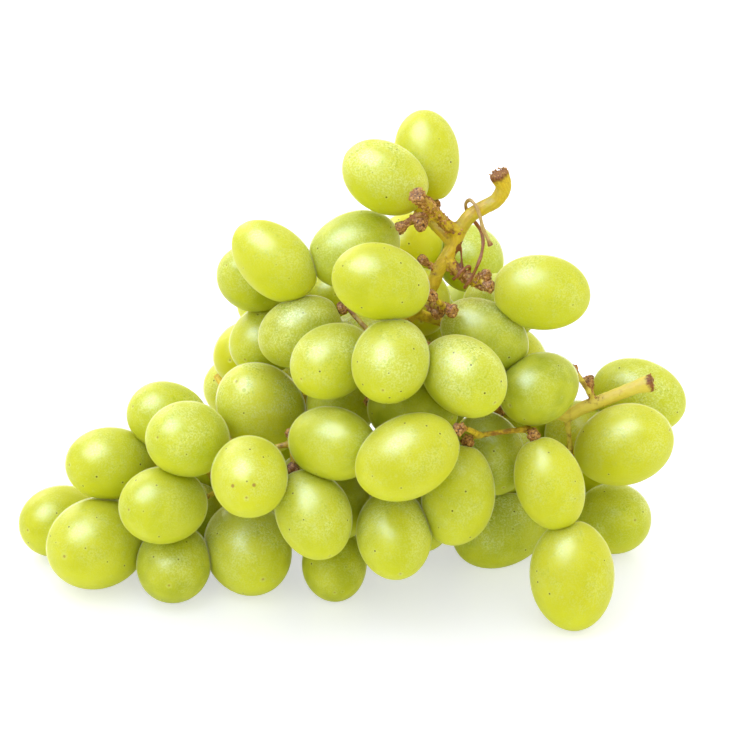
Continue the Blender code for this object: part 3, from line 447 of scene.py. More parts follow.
# The rim is painted light: a pale edge and a faint glow at the outline, for the reflection of the white room.
RIM_EDGE = (0.72, 0.93)
RIM_FACING = (-0.7, 0.2)
RIM_UNEVEN = (0.7, 0.3)
RIM_COVER = 0.9
RIM_GLOW = 0.14
RIM_ROUGHNESS = (-0.8, 1.0)
SKIN_ROUGHNESS = (0.20, 0.42)           # added where it is dusted, and elsewhere
COAT_ROUGHNESS = 0.36
SKIN_RELIEF = (0.05, 0.012, 0.03)       # depths of its patches, grains and pores
SKIN_LIGHT = {
    "IOR": 1.37, "Specular Tint": (1.0, 1.0, 0.20, 1.0), "Emission Color": RIM_LIGHT,
    "Subsurface Weight": 1.0, "Subsurface Radius": (1.0, 0.9, 0.12), "Subsurface Scale": 14.0 * MM,
    "Coat Weight": 0.30, "Coat IOR": 1.45, "Sheen Weight": 0.05, "Sheen Roughness": 0.4,
}

# Wood, crust, tendril and table
GREEN_COVER = 0.5
PALE_AND_PAINTED_LIGHT_BETWEEN = (38.0, 56.0)            # across, where the wood of the wing turns paler: partly its own paler straw and partly painted light on a stem that lies in shade
PALE_AND_PAINTED_LIGHT_COVER = 0.65
STAIN_BROWN = 0.5
BROWN_EDGE = (0.3, 1.1)
BARK_PORE_COVER = 0.5
BARK_ROUGHNESS = (0.2, 0.5)
BARK_RELIEF = (0.06, 0.05, 0.08)        # depths of its fibres, pores and stains
BARK_FLESH = {"Subsurface Weight": 0.2, "Subsurface Radius": (1.0, 0.6, 0.2), "Subsurface Scale": 1.0 * MM}
WOOD_SHINE = 0.2
# Where the painted shade falls: low spots far from a wart's middle, and crevices between warts
LOW_SPOT_SHADE_EDGE = (1.15, 1.9)
CREVICE_COVER = 0.8
MOULD_COVER = 0.25
FLECK_COVER = 0.4
CRUST_ROUGHNESS = (-0.2, 0.65)
CRUST_RELIEF = 0.06
TENDRIL_STAIN_BROWN = 0.3
DRIED_EDGE = (0.25, 0.85)
TENDRIL_ROUGHNESS = (0.2, 0.5)
TENDRIL_RELIEF = 0.05
TABLE_ROUGHNESS = (0.04, 0.22)

# Camera and light
PIXELS_PER_MM = 3.85    # at the aimed point, in a picture of that side
PHOTO_SIDE = 735
SENSOR_WIDTH = 36.0
CLIP = (0.01, 20.0)
TABLE_SIZE = 3.0
ROOM_COLOUR = (1.0, 1.0, 0.70, 1.0)
ROOM_STRENGTH = 1.06
GLEAM_COLOUR = (0.42, 0.52, 1.0)
LAMP_AIM = (0.0, 0.0, 0.04)
# Each: name, place, size, power, colour, and whether it lights the bunch or only gleams on it
LAMPS = [
    ("overhead softbox", (-0.34, -0.28, 1.00), 0.50, 0.8, (1.0, 1.0, 1.0), True),
    ("overhead sheet that only gleams", (-0.34, -0.28, 1.02), 0.90, 90.0, GLEAM_COLOUR, False),
    ("back softbox", (-0.60, 0.90, 0.55), 0.60, 4.0, (1.0, 1.0, 1.0), True),
]

RIGHT = np.array([1.0, 0.0, 0.0])
UP = np.array([0.0, math.sin(VIEW_TILT), math.cos(VIEW_TILT)])
TOWARD = np.array([0.0, -math.cos(VIEW_TILT), math.sin(VIEW_TILT)])
EYE = VIEW_AIM + TOWARD * VIEW_DISTANCE


class Heap:
    """The berries: places, directions of their tips, sizes, and which are seen or rest on the surface."""

    def __init__(self):
        self.place = np.zeros((0, 3))
        self.axis = np.zeros((0, 3))
        self.width = np.zeros(0)
        self.length = np.zeros(0)
        self.shape = np.zeros((0, 3, 3))
        self.seen = np.zeros(0, bool)
        self.rests = np.zeros(0, bool)
        self.home = np.zeros((0, 3))

    def add(self, place, axis, width, length, seen, rests):
        self.place = np.vstack([self.place, place])
        self.home = np.vstack([self.home, place])
        self.axis = np.vstack([self.axis, axis])
        self.width = np.append(self.width, width)
        self.length = np.append(self.length, length)
        self.shape = np.concatenate([self.shape, spheroid(axis, width, length)[None]])
        self.seen = np.append(self.seen, seen)
        self.rests = np.append(self.rests, rests)


class Stems:
    """The stems as chains of beads, which keep the berries off them."""

    def __init__(self):
        self.bead = np.zeros((0, 3))
        self.radius = np.zeros(0)
        self.pinned = np.zeros(0, bool)
        self.chains = []
        self.ties = []

    def add(self, beads, radius, end_radius, pinned):
        first = len(self.bead)
        self.bead = np.vstack([self.bead, beads])
        self.radius = np.append(self.radius, np.linspace(radius, end_radius, len(beads)))
        self.pinned = np.append(self.pinned, pinned)
        self.chains.append((first, len(self.bead)))

    def tie(self, bead, root):
        """Holds the end of a side stem on the main stem."""
        self.ties.append((bead, root))
        self.bead[bead] = self.bead[root]


def from_view(across, up, depth):
    """The point that is seen at (across, up) and lies at that depth."""
    on_plane = np.array([across, 0.0, 0.0]) + UP * up
    on_plane = on_plane + TOWARD * ((VIEW_AIM - on_plane) @ TOWARD)
    ray = on_plane - EYE
    return EYE + ray * (depth - EYE[1]) / ray[1]


def sight_line(point):
    ray = point - EYE
    return ray / np.linalg.norm(ray)


def spheroid(axis, width, length):
    """The matrix S of a spheroid, whose surface lies at sqrt(n.S.n) along each direction n."""
    along = np.outer(axis, axis)
    return (width / 2) ** 2 * (np.eye(3) - along) + (length / 2) ** 2 * along


def add_seen_berry(heap, across, up, depth, width, seen_length, turn):
    """A berry that looks shorter than its kind leans out of the picture, tip first."""
    length = max(seen_length, LENGTH_TO_WIDTH * width)
    shown = (seen_length ** 2 - width ** 2) / (length ** 2 - width ** 2)
    lean = math.acos(math.sqrt(min(1.0, max(0.0, shown))))
    turn = math.radians(turn)
    axis = math.cos(turn) * RIGHT + math.sin(turn) * UP
    axis = math.cos(lean) * axis + math.sin(lean) * TOWARD
    rests = depth is FLOOR
    if rests:
        half_height = math.sqrt(spheroid(axis, width, length)[2, 2]) - FLAT_SPOT
        depth = 0.0
        for _ in range(DEPTH_ROUNDS):
            depth += (from_view(across, up, depth)[2] - half_height) / math.tan(VIEW_TILT)
    place = from_view(across, up, depth)
    nearer = np.linalg.norm(place - EYE) / VIEW_DISTANCE
    heap.add(place, axis, width * nearer, length * nearer, True, rests)


def touching_distance(shape_a, shape_b, between):
    """How far apart two spheroids' centres are when they just touch, along the line between them."""
    mix = MIX_SHARES[None, :, None, None]
    blend = (1 - mix) * shape_a[:, None] + mix * shape_b[:, None]
    line = np.broadcast_to(between[:, None, :, None], blend.shape[:2] + (3, 1))
    solved = np.linalg.solve(blend, line)[..., 0]
    reach = (MIX_SHARES * (1 - MIX_SHARES) * (between[:, None, :] * solved).sum(-1)).max(1)
    return np.linalg.norm(between, axis=1) / np.sqrt(reach)


def surface_distance(point, heap):
    """How far a point is from each berry's surface, along the line to the berry's middle."""
    away = point - heap.place
    distance = np.linalg.norm(away, axis=1)
    direction = away / np.maximum(distance, TINY)[:, None]
    radial = np.einsum("ni,nij,nj->n", direction, np.linalg.inv(heap.shape), direction)
    return distance - 1.0 / np.sqrt(radial)


def hidden_share(place, shape, heap):
    """The share of a berry's outline that the seen berries hide."""
    line = sight_line(place)
    side = np.cross(line, [0.0, 0.0, 1.0])
    side /= np.linalg.norm(side)
    over = np.cross(side, line)
    seen = heap.seen
    inverse = np.linalg.inv(heap.shape[seen])
    offset = EYE - heap.place[seen]
    constant = np.einsum("ni,nij,nj->n", offset, inverse, offset) - 1.0
    hidden = 0
    for k in range(OUTLINE_SAMPLES):
        angle = 2 * math.pi * k / OUTLINE_SAMPLES
        direction = math.cos(angle) * side + math.sin(angle) * over
        rim = place + shape @ direction / math.sqrt(direction @ shape @ direction)
        distance = np.linalg.norm(rim - EYE)
        ray = (rim - EYE) / distance
        square = np.einsum("i,nij,j->n", ray, inverse, ray)
        linear = np.einsum("ni,nij,j->n", offset, inverse, ray)
        root = linear ** 2 - square * constant
        hits = root > 0
        if hits.any():
            first = ((-linear[hits] - np.sqrt(root[hits])) / square[hits]).min()
            hidden += first < distance
    return hidden / OUTLINE_SAMPLES


def run_along(points):
    """How far along a row of points each of them lies."""
    return np.concatenate([[0.0], np.cumsum(np.linalg.norm(np.diff(points, axis=0), axis=1))])


def beads_along(points, spacing):
    """Points at an even spacing along a route."""
    points = np.array(points, dtype=float)
    run = run_along(points)
    count = max(2, round(run[-1] / spacing))
    stops = np.linspace(0.0, run[-1], count + 1)
    return np.stack([np.interp(stops, run, points[:, k]) for k in range(3)], axis=1)


def add_seen_stem(stems, route, seen_points, radius, end_radius):
    points = [from_view(*point) for point in route]
    beads = beads_along(points, BEAD_SPACING)
    seen_run = np.linalg.norm(np.diff(np.array(points[:seen_points]), axis=0), axis=1).sum()
    run = run_along(beads)
    stems.add(beads, radius, end_radius, run < seen_run)


def add_side_stem(stems, end, share):
    """A hidden side stem, from a point of the main stem to the middle of its spray."""
    first, last = stems.chains[0]
    root = first + round(share * (last - 1 - first))
    beads = beads_along([stems.bead[root], np.array(end, dtype=float)], BEAD_SPACING)
    stems.add(beads, SIDE_RADIUS, SIDE_END_RADIUS, np.zeros(len(beads), bool))
    stems.tie(stems.chains[-1][0], root)


def settle(heap, stems, pressed, steps, hold):
    """Moves the berries until none cuts into another, save the pairs that press together.

    A seen berry moves along the line of sight and hardly out of its place in the picture, and
    the one behind gives way. The stems bend clear too, where they are not seen.
    """
    count = len(heap.place)
    first, second = np.triu_indices(count, 1)
    presses = np.zeros((count, count), bool)
    for a, b in pressed:
        presses[a, b] = presses[b, a] = True
    lowest = np.sqrt(heap.shape[:, 2, 2]) - FLAT_SPOT
    stem_home = stems.bead.copy()
    loose = np.where(stems.pinned, 0.0, STEM_GIVE)
    for _ in range(steps):
        between = heap.place[second] - heap.place[first]
        distance = np.linalg.norm(between, axis=1)
        near = (distance < TOUCHING_RANGE) | presses[first, second]
        a, b = first[near], second[near]
        between, distance = between[near], distance[near]
        touch = touching_distance(heap.shape[a], heap.shape[b], between)
        overlap = np.maximum(0.0, touch + APART - distance)
        overlap = np.where(presses[a, b], PRESS_WEIGHT * (touch - PRESS - distance), overlap)
        direction = between / distance[:, None]
        behind = ((heap.place[a] - heap.place[b]) @ -TOWARD) / GIVE_DEPTH
        gives = np.clip(0.5 + behind, LEAST_GIVE, 1 - LEAST_GIVE)
        gives = np.where(heap.seen[a] & heap.seen[b], gives, 0.5)
        gives = np.where(heap.seen[a] & ~heap.seen[b], SEEN_GIVE, gives)
        gives = np.where(~heap.seen[a] & heap.seen[b], 1 - SEEN_GIVE, gives)
        move = np.zeros_like(heap.place)
        np.add.at(move, a, -direction * (overlap * gives)[:, None])
        np.add.at(move, b, direction * (overlap * (1 - gives))[:, None])

        from_bead = heap.place[:, None, :] - stems.bead[None]
        bead_distance = np.linalg.norm(from_bead, axis=-1)
        outward = from_bead / bead_distance[..., None]
        reach = np.sqrt(np.einsum("nsi,nij,nsj->ns", outward, heap.shape, outward))
        cut = np.maximum(0.0, reach + stems.radius[None] + STEM_GAP - bead_distance)
        deepest = cut.argmax(1)
        rows = np.arange(count)
        push = cut[rows, deepest] * (1 - loose[deepest])
        move += outward[rows, deepest] * push[:, None]
        bead_move = -(outward * (cut * loose[None])[..., None]).sum(0)
        for start, stop in stems.chains:
            middle = (stems.bead[start:stop - 2] + stems.bead[start + 2:stop]) / 2
            bead_move[start + 1:stop - 1] += STEM_EVEN * (middle - stems.bead[start + 1:stop - 1])
        bead_move -= (stems.bead - stem_home) * STEM_PULL
        bead_move[stems.pinned] = 0.0
        stems.bead = stems.bead + STEM_STEP * bead_move
        for bead, root in stems.ties:
            stems.bead[bead] = stems.bead[root]

        move *= STEP_SHARE
        line = heap.place - EYE
        line /= np.linalg.norm(line, axis=1)[:, None]
        along = (move * line).sum(1)[:, None] * line
        off = heap.place - heap.home
        off_picture = off - (off * line).sum(1)[:, None] * line
        held = along + (move - along) * (1 - hold) - off_picture * HOLD_PULL * hold
        heap.place = heap.place + np.where(heap.seen[:, None], held, move)
        raised = np.maximum(heap.place[:, 2], lowest + OFF_FLOOR)
        heap.place[:, 2] = np.where(heap.rests, lowest, raised)


def fill_heap(heap, stems, draw):
    """Draws hidden berries inside the heap's outline, where they fit and stay out of view."""
    def try_berry(place, rests):
        width = draw.uniform(*HIDDEN_WIDTH)
        length = width * draw.uniform(*HIDDEN_STRETCH)
        outward = (place - HEAP_MIDDLE) / np.linalg.norm(place - HEAP_MIDDLE)
        axis = outward + draw.normal(0.0, LEAN_SCATTER, 3)
        if rests:
            axis[2] = -RESTING_LEAN * abs(axis[2])
        axis /= np.linalg.norm(axis)
        shape = spheroid(axis, width, length)
        if rests:
            place[2] = math.sqrt(shape[2, 2]) - FLAT_SPOT
        near = np.linalg.norm(heap.place - place, axis=1) < TOUCHING_RANGE
        if not near.any():
            return
        between = heap.place[near] - place
        both = np.broadcast_to(shape, (near.sum(), 3, 3))
        gap = np.linalg.norm(between, axis=1) - touching_distance(both, heap.shape[near], between)
        fits = CLOSEST_FIT < gap.min() < LOOSEST_FIT
        clear = np.linalg.norm(stems.bead - place, axis=1).min() > width / 2 + SIDE_RADIUS
        if fits and clear and hidden_share(place, shape, heap) > LEAST_HIDDEN:
            heap.add(place, axis, width, length, False, rests)

    lows, highs = HEAP_MIDDLE - HEAP_REACH, HEAP_MIDDLE + HEAP_REACH
    for draws, rests in ((FLOOR_DRAWS, True), (HEAP_DRAWS, False)):
        for _ in range(draws):
            place = draw.uniform(lows, highs)
            place[2] = FLOOR_HEIGHT if rests else max(place[2], LOWEST_MIDDLE)
            share = (((place - HEAP_MIDDLE) / HEAP_REACH) ** 2).sum()
            if HEAP_CORE < share < HEAP_EDGE:
                try_berry(place, rests)


def gather_sprays(heap):
    """Shares the berries out to the side stems: each joins the spray that it lies closest to."""
    count = len(heap.place)
    first, second = np.triu_indices(count, 1)
    between = heap.place[second] - heap.place[first]
    gap = np.linalg.norm(between, axis=1)
    gap = gap - touching_distance(heap.shape[first], heap.shape[second], between)
    gaps = np.full((count, count), NO_MATCH)
    gaps[first, second] = gaps[second, first] = gap
    ends = np.array([end for end, _ in SPRAYS.values()], dtype=float)
    to_end = np.linalg.norm(heap.place[:, None] - ends[None], axis=-1)
    spray_of = np.full(count, -1)
    for k in range(len(ends)):
        spray_of[np.where(spray_of < 0, to_end[:, k], NO_MATCH).argmin()] = k
    pressed = []
    while (spray_of < 0).any():
        inside, outside = np.nonzero(spray_of >= 0)[0], np.nonzero(spray_of < 0)[0]
        cost = gaps[np.ix_(inside, outside)] + FAR_BERRY_COST * to_end[outside][:, spray_of[inside]].T
        row, column = np.unravel_index(cost.argmin(), cost.shape)
        pressed.append((inside[row], outside[column]))
        spray_of[outside[column]] = spray_of[inside[row]]
    return spray_of, pressed


def lay_out():
    """The whole bunch: berries, stems and sprays."""
    draw = np.random.default_rng(SEED)
    heap = Heap()
    for berry in SEEN_BERRIES:
        add_seen_berry(heap, *berry)
    stems = Stems()
    add_seen_stem(stems, MAIN_STEM, MAIN_SEEN, MAIN_RADIUS, MAIN_END_RADIUS)
    add_seen_stem(stems, WING_STEM, WING_SEEN, WING_RADIUS, SIDE_RADIUS)
    main_length = stems.chains[0][1]
    wing_end = stems.bead[-1]
    stems.tie(len(stems.bead) - 1, np.linalg.norm(stems.bead[:main_length] - wing_end, axis=1).argmin())
    for end, share in SPRAYS.values():
        if share is not None and share < 1.0:
            add_side_stem(stems, end, share)
    settle(heap, stems, [], SETTLE_STEPS, HOLD)
    for _ in range(FILL_ROUNDS):
        heap.home = np.where(heap.seen[:, None], heap.home, heap.place)
        fill_heap(heap, stems, draw)
        settle(heap, stems, [], FILL_STEPS, HOLD)
    for _ in range(GATHER_ROUNDS):
        spray_of, pressed = gather_sprays(heap)
        settle(heap, stems, pressed, SETTLE_STEPS, PRESSED_HOLD)
    return heap, stems, spray_of


def berry_stalk_path(heap, stems, berry):
    """A berry stalk's path from the nearest stem to just off its berry, bent clear of the rest.

    Returns None where there is no clear way.
    """
    axis = heap.axis[berry]
    top = heap.place[berry] - axis * (heap.length[berry] / 2 + STEM_GAP)
    before = top - axis * COLLAR_LENGTH
    run_in = before - axis * STALK_STRAIGHT
    root = stems.bead[np.linalg.norm(stems.bead - run_in, axis=1).argmin()]
    reach = np.linalg.norm(before - root)
    if reach > LONGEST_BERRY_STALK:
        return None
    count = STALK_POINTS[0] if reach < SHORT_BERRY_STALK else STALK_POINTS[1]
    share = np.linspace(0.0, 1.0, count)[:, None]
    bend = root * (1 - share) + run_in * share
    path = bend * (1 - share ** 2) + before * share ** 2
    for _ in range(STALK_BENDS):
        for k in range(1, count - 1):
            gap = surface_distance(path[k], heap) - BERRY_STALK_RADIUS - STEM_GAP - SPARE_GAP
            worst = gap.argmin()
            if gap[worst] < 0:
                away = path[k] - heap.place[worst]
                path[k] -= away / np.linalg.norm(away) * gap[worst] * STALK_PUSH
            path[k] += STALK_EVEN * ((path[k - 1] + path[k + 1]) / 2 - path[k])
    fine = beads_along(path, CHECK_SPACING)[ROOT_POINTS:]
    if min(surface_distance(point, heap).min() for point in fine) < BERRY_STALK_RADIUS + TIGHT_GAP:
        return None
    collar = surface_distance(top, heap)
    collar[berry] = NO_MATCH
    if collar.min() < COLLAR_RADIUS + COLLAR_GAP:
        return None
    return np.vstack([path, top])


def grow_berry_stalks(heap, stems):
    """Berry stalks in order of nearness, each from the nearest stem or berry stalk."""
    tops = heap.place - heap.axis * (heap.length / 2)[:, None]
    nearness = np.linalg.norm(tops[:, None] - stems.bead[None], axis=-1).min(1)
    paths = []
    for berry in np.argsort(nearness, kind="stable"):
        path = berry_stalk_path(heap, stems, berry)
        if path is not None:
            paths.append(path)
            stems.bead = np.vstack([stems.bead, path[1:-2]])
    return paths


def middle_of(heap):
    """The middle of the bunch's outline as seen from above, which becomes the origin."""
    half = np.sqrt(np.stack([heap.shape[:, k, k] for k in range(3)], axis=1))
    middle = ((heap.place - half).min(0) + (heap.place + half).max(0)) / 2
    middle[2] = 0.0
    return middle


def smooth_path(points, steps):
    """A smooth curve through the points of a route, with that many steps between each two."""
    points = np.array(points, dtype=float)
    padded = np.vstack([2 * points[0] - points[1], points, 2 * points[-1] - points[-2]])
    path = []
    for k in range(1, len(padded) - 2):
        before, start, end, after = padded[k - 1:k + 3]
        for step in range(steps):
            t = step / steps
            bend = (2 * before - 5 * start + 4 * end - after) * t ** 2
            bend = bend + (3 * start - before - 3 * end + after) * t ** 3
            path.append(start + 0.5 * ((end - before) * t + bend))
    path.append(padded[-2])
    return np.array(path)


def grow_empty_stalks(stems, shift):
    """The empty stalks' paths, each from the nearest stem, which berry stalks may then start from."""
    paths = []
    for _, _, route in EMPTY_STALKS:
        path = np.array([from_view(*point) - shift for point in route])
        path[0] = stems.bead[np.linalg.norm(stems.bead - path[0], axis=1).argmin()]
        stems.bead = np.vstack([stems.bead, path[1:-1]])
        paths.append(path)
    return paths


def tendril_route(empty_paths, shift):
    """The tendril's route, whose coil goes in front of the stalk, below it, behind it and over it."""
    route = [from_view(*point) - shift for point in TENDRIL]
    line = beads_along(empty_paths[COIL_STALK], COIL_SPACING)
    for step in range(COIL_POINTS + 1):
        share = step / COIL_POINTS
        spot = round(np.interp(share, (0.0, 1.0), COIL_SPAN) * (len(line) - 1))
        along = line[spot + 1] - line[spot - 1]
        along /= np.linalg.norm(along)
        front = TOWARD - (TOWARD @ along) * along
        front /= np.linalg.norm(front)
        below = np.cross(along, front)
        angle = 2 * math.pi * COIL_TURNS * share
        route.append(line[spot] + COIL_REACH * (math.cos(angle) * front + math.sin(angle) * below))
    return route
# Fine shapes

def berry_pattern():
    """The directions and faces of one round berry, with its bands closer together at both ends."""
    mesh = bmesh.new()
    bmesh.ops.create_uvsphere(mesh, u_segments=FINE_SIDES, v_segments=FINE_BANDS, radius=1.0)
    round_berry = np.array([vertex.co for vertex in mesh.verts])
    faces = [[vertex.index for vertex in face.verts] for face in mesh.faces]
    mesh.free()
    polar = np.arccos(np.clip(round_berry[:, 2], -1.0, 1.0))
    around = np.arctan2(round_berry[:, 1], round_berry[:, 0])
    polar = polar - END_CROWDING * np.sin(2 * polar)
    ring = np.sin(polar)
    return np.stack([ring * np.cos(around), ring * np.sin(around), np.cos(polar)], axis=1), faces


def grown_berry(directions, draw, width, length):
    """One berry as it grew, with its tip up: egg-shaped, a little lumpy, with a scar at the tip."""
    fuller = 1.0 + draw.uniform(*FULLER_TIP) * directions[:, 2]
    flatter = draw.uniform(FLATTEST, 1.0)
    points = directions * np.array([width, width * flatter, length]) / 2
    points[:, :2] *= fuller[:, None]
    for _ in range(LUMP_WAVES):
        wave = draw.normal(0.0, LUMP_FREQUENCY, 3)
        points *= 1.0 + LUMP_HEIGHT * np.sin(directions @ wave + draw.uniform(0, 2 * math.pi))[:, None]
    points[:, 0] += draw.uniform(0.0, BOW) * (directions[:, 2] ** 2 - 1 / 3)
    from_axis = np.hypot(directions[:, 0], directions[:, 1]) * width / 2
    tip, stalk_end = directions[:, 2] > 0, directions[:, 2] < 0
    scar = SCAR_RIM * np.exp(-((from_axis - SCAR_RADIUS) / SCAR_RIM_WIDTH) ** 2)
    scar -= SCAR_DEPTH * np.exp(-(from_axis / SCAR_HOLLOW) ** 2)
    points[tip, 2] += scar[tip]
    points[stalk_end, 2] += DIMPLE_DEPTH * np.exp(-(from_axis[stalk_end] / DIMPLE_RADIUS) ** 2)
    return points


def pressed_berry(points, berry, heap):
    """Flattens a berry where it meets its neighbours and the surface, with a soft rim."""
    rays = points - heap.place[berry]
    inverse = np.linalg.inv(heap.shape[berry])
    own = np.einsum("ni,ij,nj->n", rays, inverse, rays)
    softened = np.exp(-1.0 / RIM_SOFTNESS) * np.ones(len(points))
    apart = np.linalg.norm(heap.place - heap.place[berry], axis=1)
    for other in np.nonzero((apart > 0) & (apart < TOUCHING_RANGE))[0]:
        between = heap.place[berry] - heap.place[other]
        inverse = np.linalg.inv(heap.shape[other])
        level = between @ inverse @ between
        slope = rays @ inverse @ between
        curve = own - np.einsum("ni,ij,nj->n", rays, inverse, rays)
        root = slope ** 2 + curve * level
        bottom = np.sqrt(np.maximum(root, 0.0)) - slope
        meets = (root > 0) & (bottom > 0)
        reach = np.where(meets, level / np.where(meets, bottom, 1.0), NO_MATCH)
        softened += np.exp(-np.minimum(reach * (1 - SKIN_GAP), FAR_REACH) / RIM_SOFTNESS)
    down = np.minimum(rays[:, 2], -LEAST_DROP)
    to_floor = (FLOOR_CLEARANCE - heap.place[berry][2]) / down
    softened += np.exp(-np.minimum(to_floor, FAR_REACH) / RIM_SOFTNESS)
    return heap.place[berry] + rays * (-RIM_SOFTNESS * np.log(softened))[:, None]


def shown(name, data):
    """An object for a mesh or a curve, in the scene."""
    shown_object = bpy.data.objects.new(name, data)
    bpy.context.scene.collection.objects.link(shown_object)
    return shown_object


def mesh_piece(name, points, faces, material, attributes):
    """A shown piece from points in millimetres, with values for its material at each point."""
    data = bpy.data.meshes.new(name)
    data.from_pydata((points * MM).tolist(), [], faces)
    data.validate()
    for label, values in attributes.items():
        layer = data.attributes.new(label, "FLOAT_VECTOR", "POINT")
        layer.data.foreach_set("vector", np.asarray(values, dtype=np.float32).ravel())
    data.materials.append(material)
    data.shade_smooth()
    return shown(name, data)


def berry_piece(name, members, heap, directions, faces, material):
    """The fine berries of one spray, each a closed body of its own."""
    points, turned_faces, character = [], [], []
    for row, berry in enumerate(members):
        draw = np.random.default_rng([SEED, berry])
        grown = grown_berry(directions, draw, heap.width[berry], heap.length[berry])
        turn = np.array(Vector(heap.axis[berry]).to_track_quat("Z", "Y").to_matrix())
        spin = np.array(Matrix.Rotation(draw.uniform(0, 2 * math.pi), 3, "Z"))
        points.append(pressed_berry(grown @ (turn @ spin).T + heap.place[berry], berry, heap))
        character.append(np.tile(skin_character(berry, draw), (len(directions), 1)))
        first = row * len(directions)
        turned_faces += [[first + corner for corner in face] for face in faces]
    attributes = {"place_on_berry": np.tile(directions, (len(members), 1)), "character": np.vstack(character)}
    return mesh_piece(name, np.vstack(points), turned_faces, material, attributes)


def skin_character(berry, draw):
    """How yellow, how dusted with bloom and how dark a berry is, each from 0 to 1, where the darkness is
    partly its own colour and partly painted shade.
    """
    return SEEN_CHARACTER.get(berry, draw.uniform(0.0, 1.0, 3))


def mark_place(heap, berry, across, up, shift):
    """The point of a berry's skin that is seen at (across, up)."""
    eye = EYE - shift
    ray = heading(EYE, from_view(across, up, 0.0))
    inverse = np.linalg.inv(heap.shape[berry])
    offset = eye - heap.place[berry]
    square, linear = ray @ inverse @ ray, offset @ inverse @ ray
    root = max(0.0, linear ** 2 - square * (offset @ inverse @ offset - 1.0))
    return eye + ray * (-linear - math.sqrt(root)) / square


class Wood:
    """Stems as rows of points with a radius and a brownness, to be fused and coloured."""

    def __init__(self):
        self.paths = []
        self.radii = []
        self.brown = []

    def add(self, path, radii, brown):
        self.paths.append(path)
        self.radii.append(radii)
        self.brown.append(np.broadcast_to(brown, len(path)))


def drawn_tubes(name, wood, roundness):
    """All the paths as one curve object, turned into a mesh."""
    curve = bpy.data.curves.new(name, "CURVE")
    curve.dimensions = "3D"
    curve.bevel_depth = MM
    curve.bevel_resolution = roundness
    curve.use_fill_caps = True
    for path, radii in zip(wood.paths, wood.radii):
        spline = curve.splines.new("POLY")
        spline.points.add(len(path) - 1)
        spline.points.foreach_set("co", np.column_stack([path * MM, np.ones(len(path))]).ravel())
        spline.points.foreach_set("radius", radii)
    drawn = shown(name, curve)
    data = bpy.data.meshes.new_from_object(drawn.evaluated_get(bpy.context.evaluated_depsgraph_get()))
    bpy.data.objects.remove(drawn)
    bpy.data.curves.remove(curve)
    return data


def fused(data, voxel, smoothing):
    """The points, their normals and the faces of a mesh whose overlapping bodies are melted into one."""
    blank = shown("blank", data)
    remesh = blank.modifiers.new("fuse", "REMESH")
    remesh.mode = "VOXEL"
    remesh.voxel_size = voxel * MM
    smooth = blank.modifiers.new("smooth", "SMOOTH")
    smooth.factor = SMOOTHING
    smooth.iterations = smoothing
    skin = bpy.data.meshes.new_from_object(blank.evaluated_get(bpy.context.evaluated_depsgraph_get()))
    points = np.zeros(len(skin.vertices) * 3)
    skin.vertices.foreach_get("co", points)
    normals = np.zeros(len(skin.vertices) * 3, dtype=np.float32)
    skin.vertex_normals.foreach_get("vector", normals)
    faces = [list(face.vertices) for face in skin.polygons]
    bpy.data.objects.remove(blank)
    bpy.data.meshes.remove(skin)
    bpy.data.meshes.remove(data)
    return points.reshape(-1, 3) / MM, normals.reshape(-1, 3), faces


def finder(points):
    """A tree in which the points nearest to a place are found."""
    tree = KDTree(len(points))
    for k, point in enumerate(points):
        tree.insert(point, k)
    tree.balance()
    return tree


def bark_values(points, wood):
    """For each point, where it lies on its stem, two ways round it and along, and how brown it is."""
    middles = np.vstack(wood.paths)
    along, side, over = [], [], []
    for path in wood.paths:
        along.append(run_along(path))
        ahead = np.gradient(path, axis=0)
        ahead /= np.linalg.norm(ahead, axis=1)[:, None]
        across = np.cross(ahead, SIDE_REFERENCE)
        across /= np.linalg.norm(across, axis=1)[:, None]
        side.append(across)
        over.append(np.cross(ahead, across))
    along, side, over = np.concatenate(along), np.vstack(side), np.vstack(over)
    tree = finder(middles)
    nearest = np.array([tree.find(point)[1] for point in points])
    off = points - middles[nearest]
    round_stem = (off * side[nearest]).sum(1), (off * over[nearest]).sum(1)
    bark_place = np.stack([*round_stem, along[nearest]], axis=1)
    browned = np.column_stack([np.concatenate(wood.brown)[nearest], np.zeros((len(points), 2))])
    return {"bark_place": bark_place, "browned": browned}


def roughened(points, normals):
    """Bark that is slightly uneven, by noise."""
    lumps = np.array([noise.noise(Vector(point / BARK_LUMP + BARK_SHIFT)) for point in points])
    return points + normals * (lumps * BARK_HEIGHT)[:, None]


def outward_from(ahead, turn):
    """Directions square to a line, at those turns round it."""
    side = np.cross(ahead, SIDE_REFERENCE)
    side /= np.linalg.norm(side)
    return np.cos(turn)[:, None] * side + np.sin(turn)[:, None] * np.cross(ahead, side)


def heading(start, end):
    return (end - start) / np.linalg.norm(end - start)


def wart_mesh(places, sizes):
    """Small balls at the given places, in one mesh."""
    ball = bmesh.new()
    bmesh.ops.create_icosphere(ball, subdivisions=WART_ROUNDNESS, radius=1.0)
    corners = np.array([vertex.co for vertex in ball.verts])
    sides = np.array([[vertex.index for vertex in face.verts] for face in ball.faces])
    ball.free()
    points = (places[:, None] + corners[None] * sizes[:, None, None]).reshape(-1, 3)
    faces = (sides[None] + np.arange(len(places))[:, None, None] * len(corners)).reshape(-1, 3)
    return points, faces


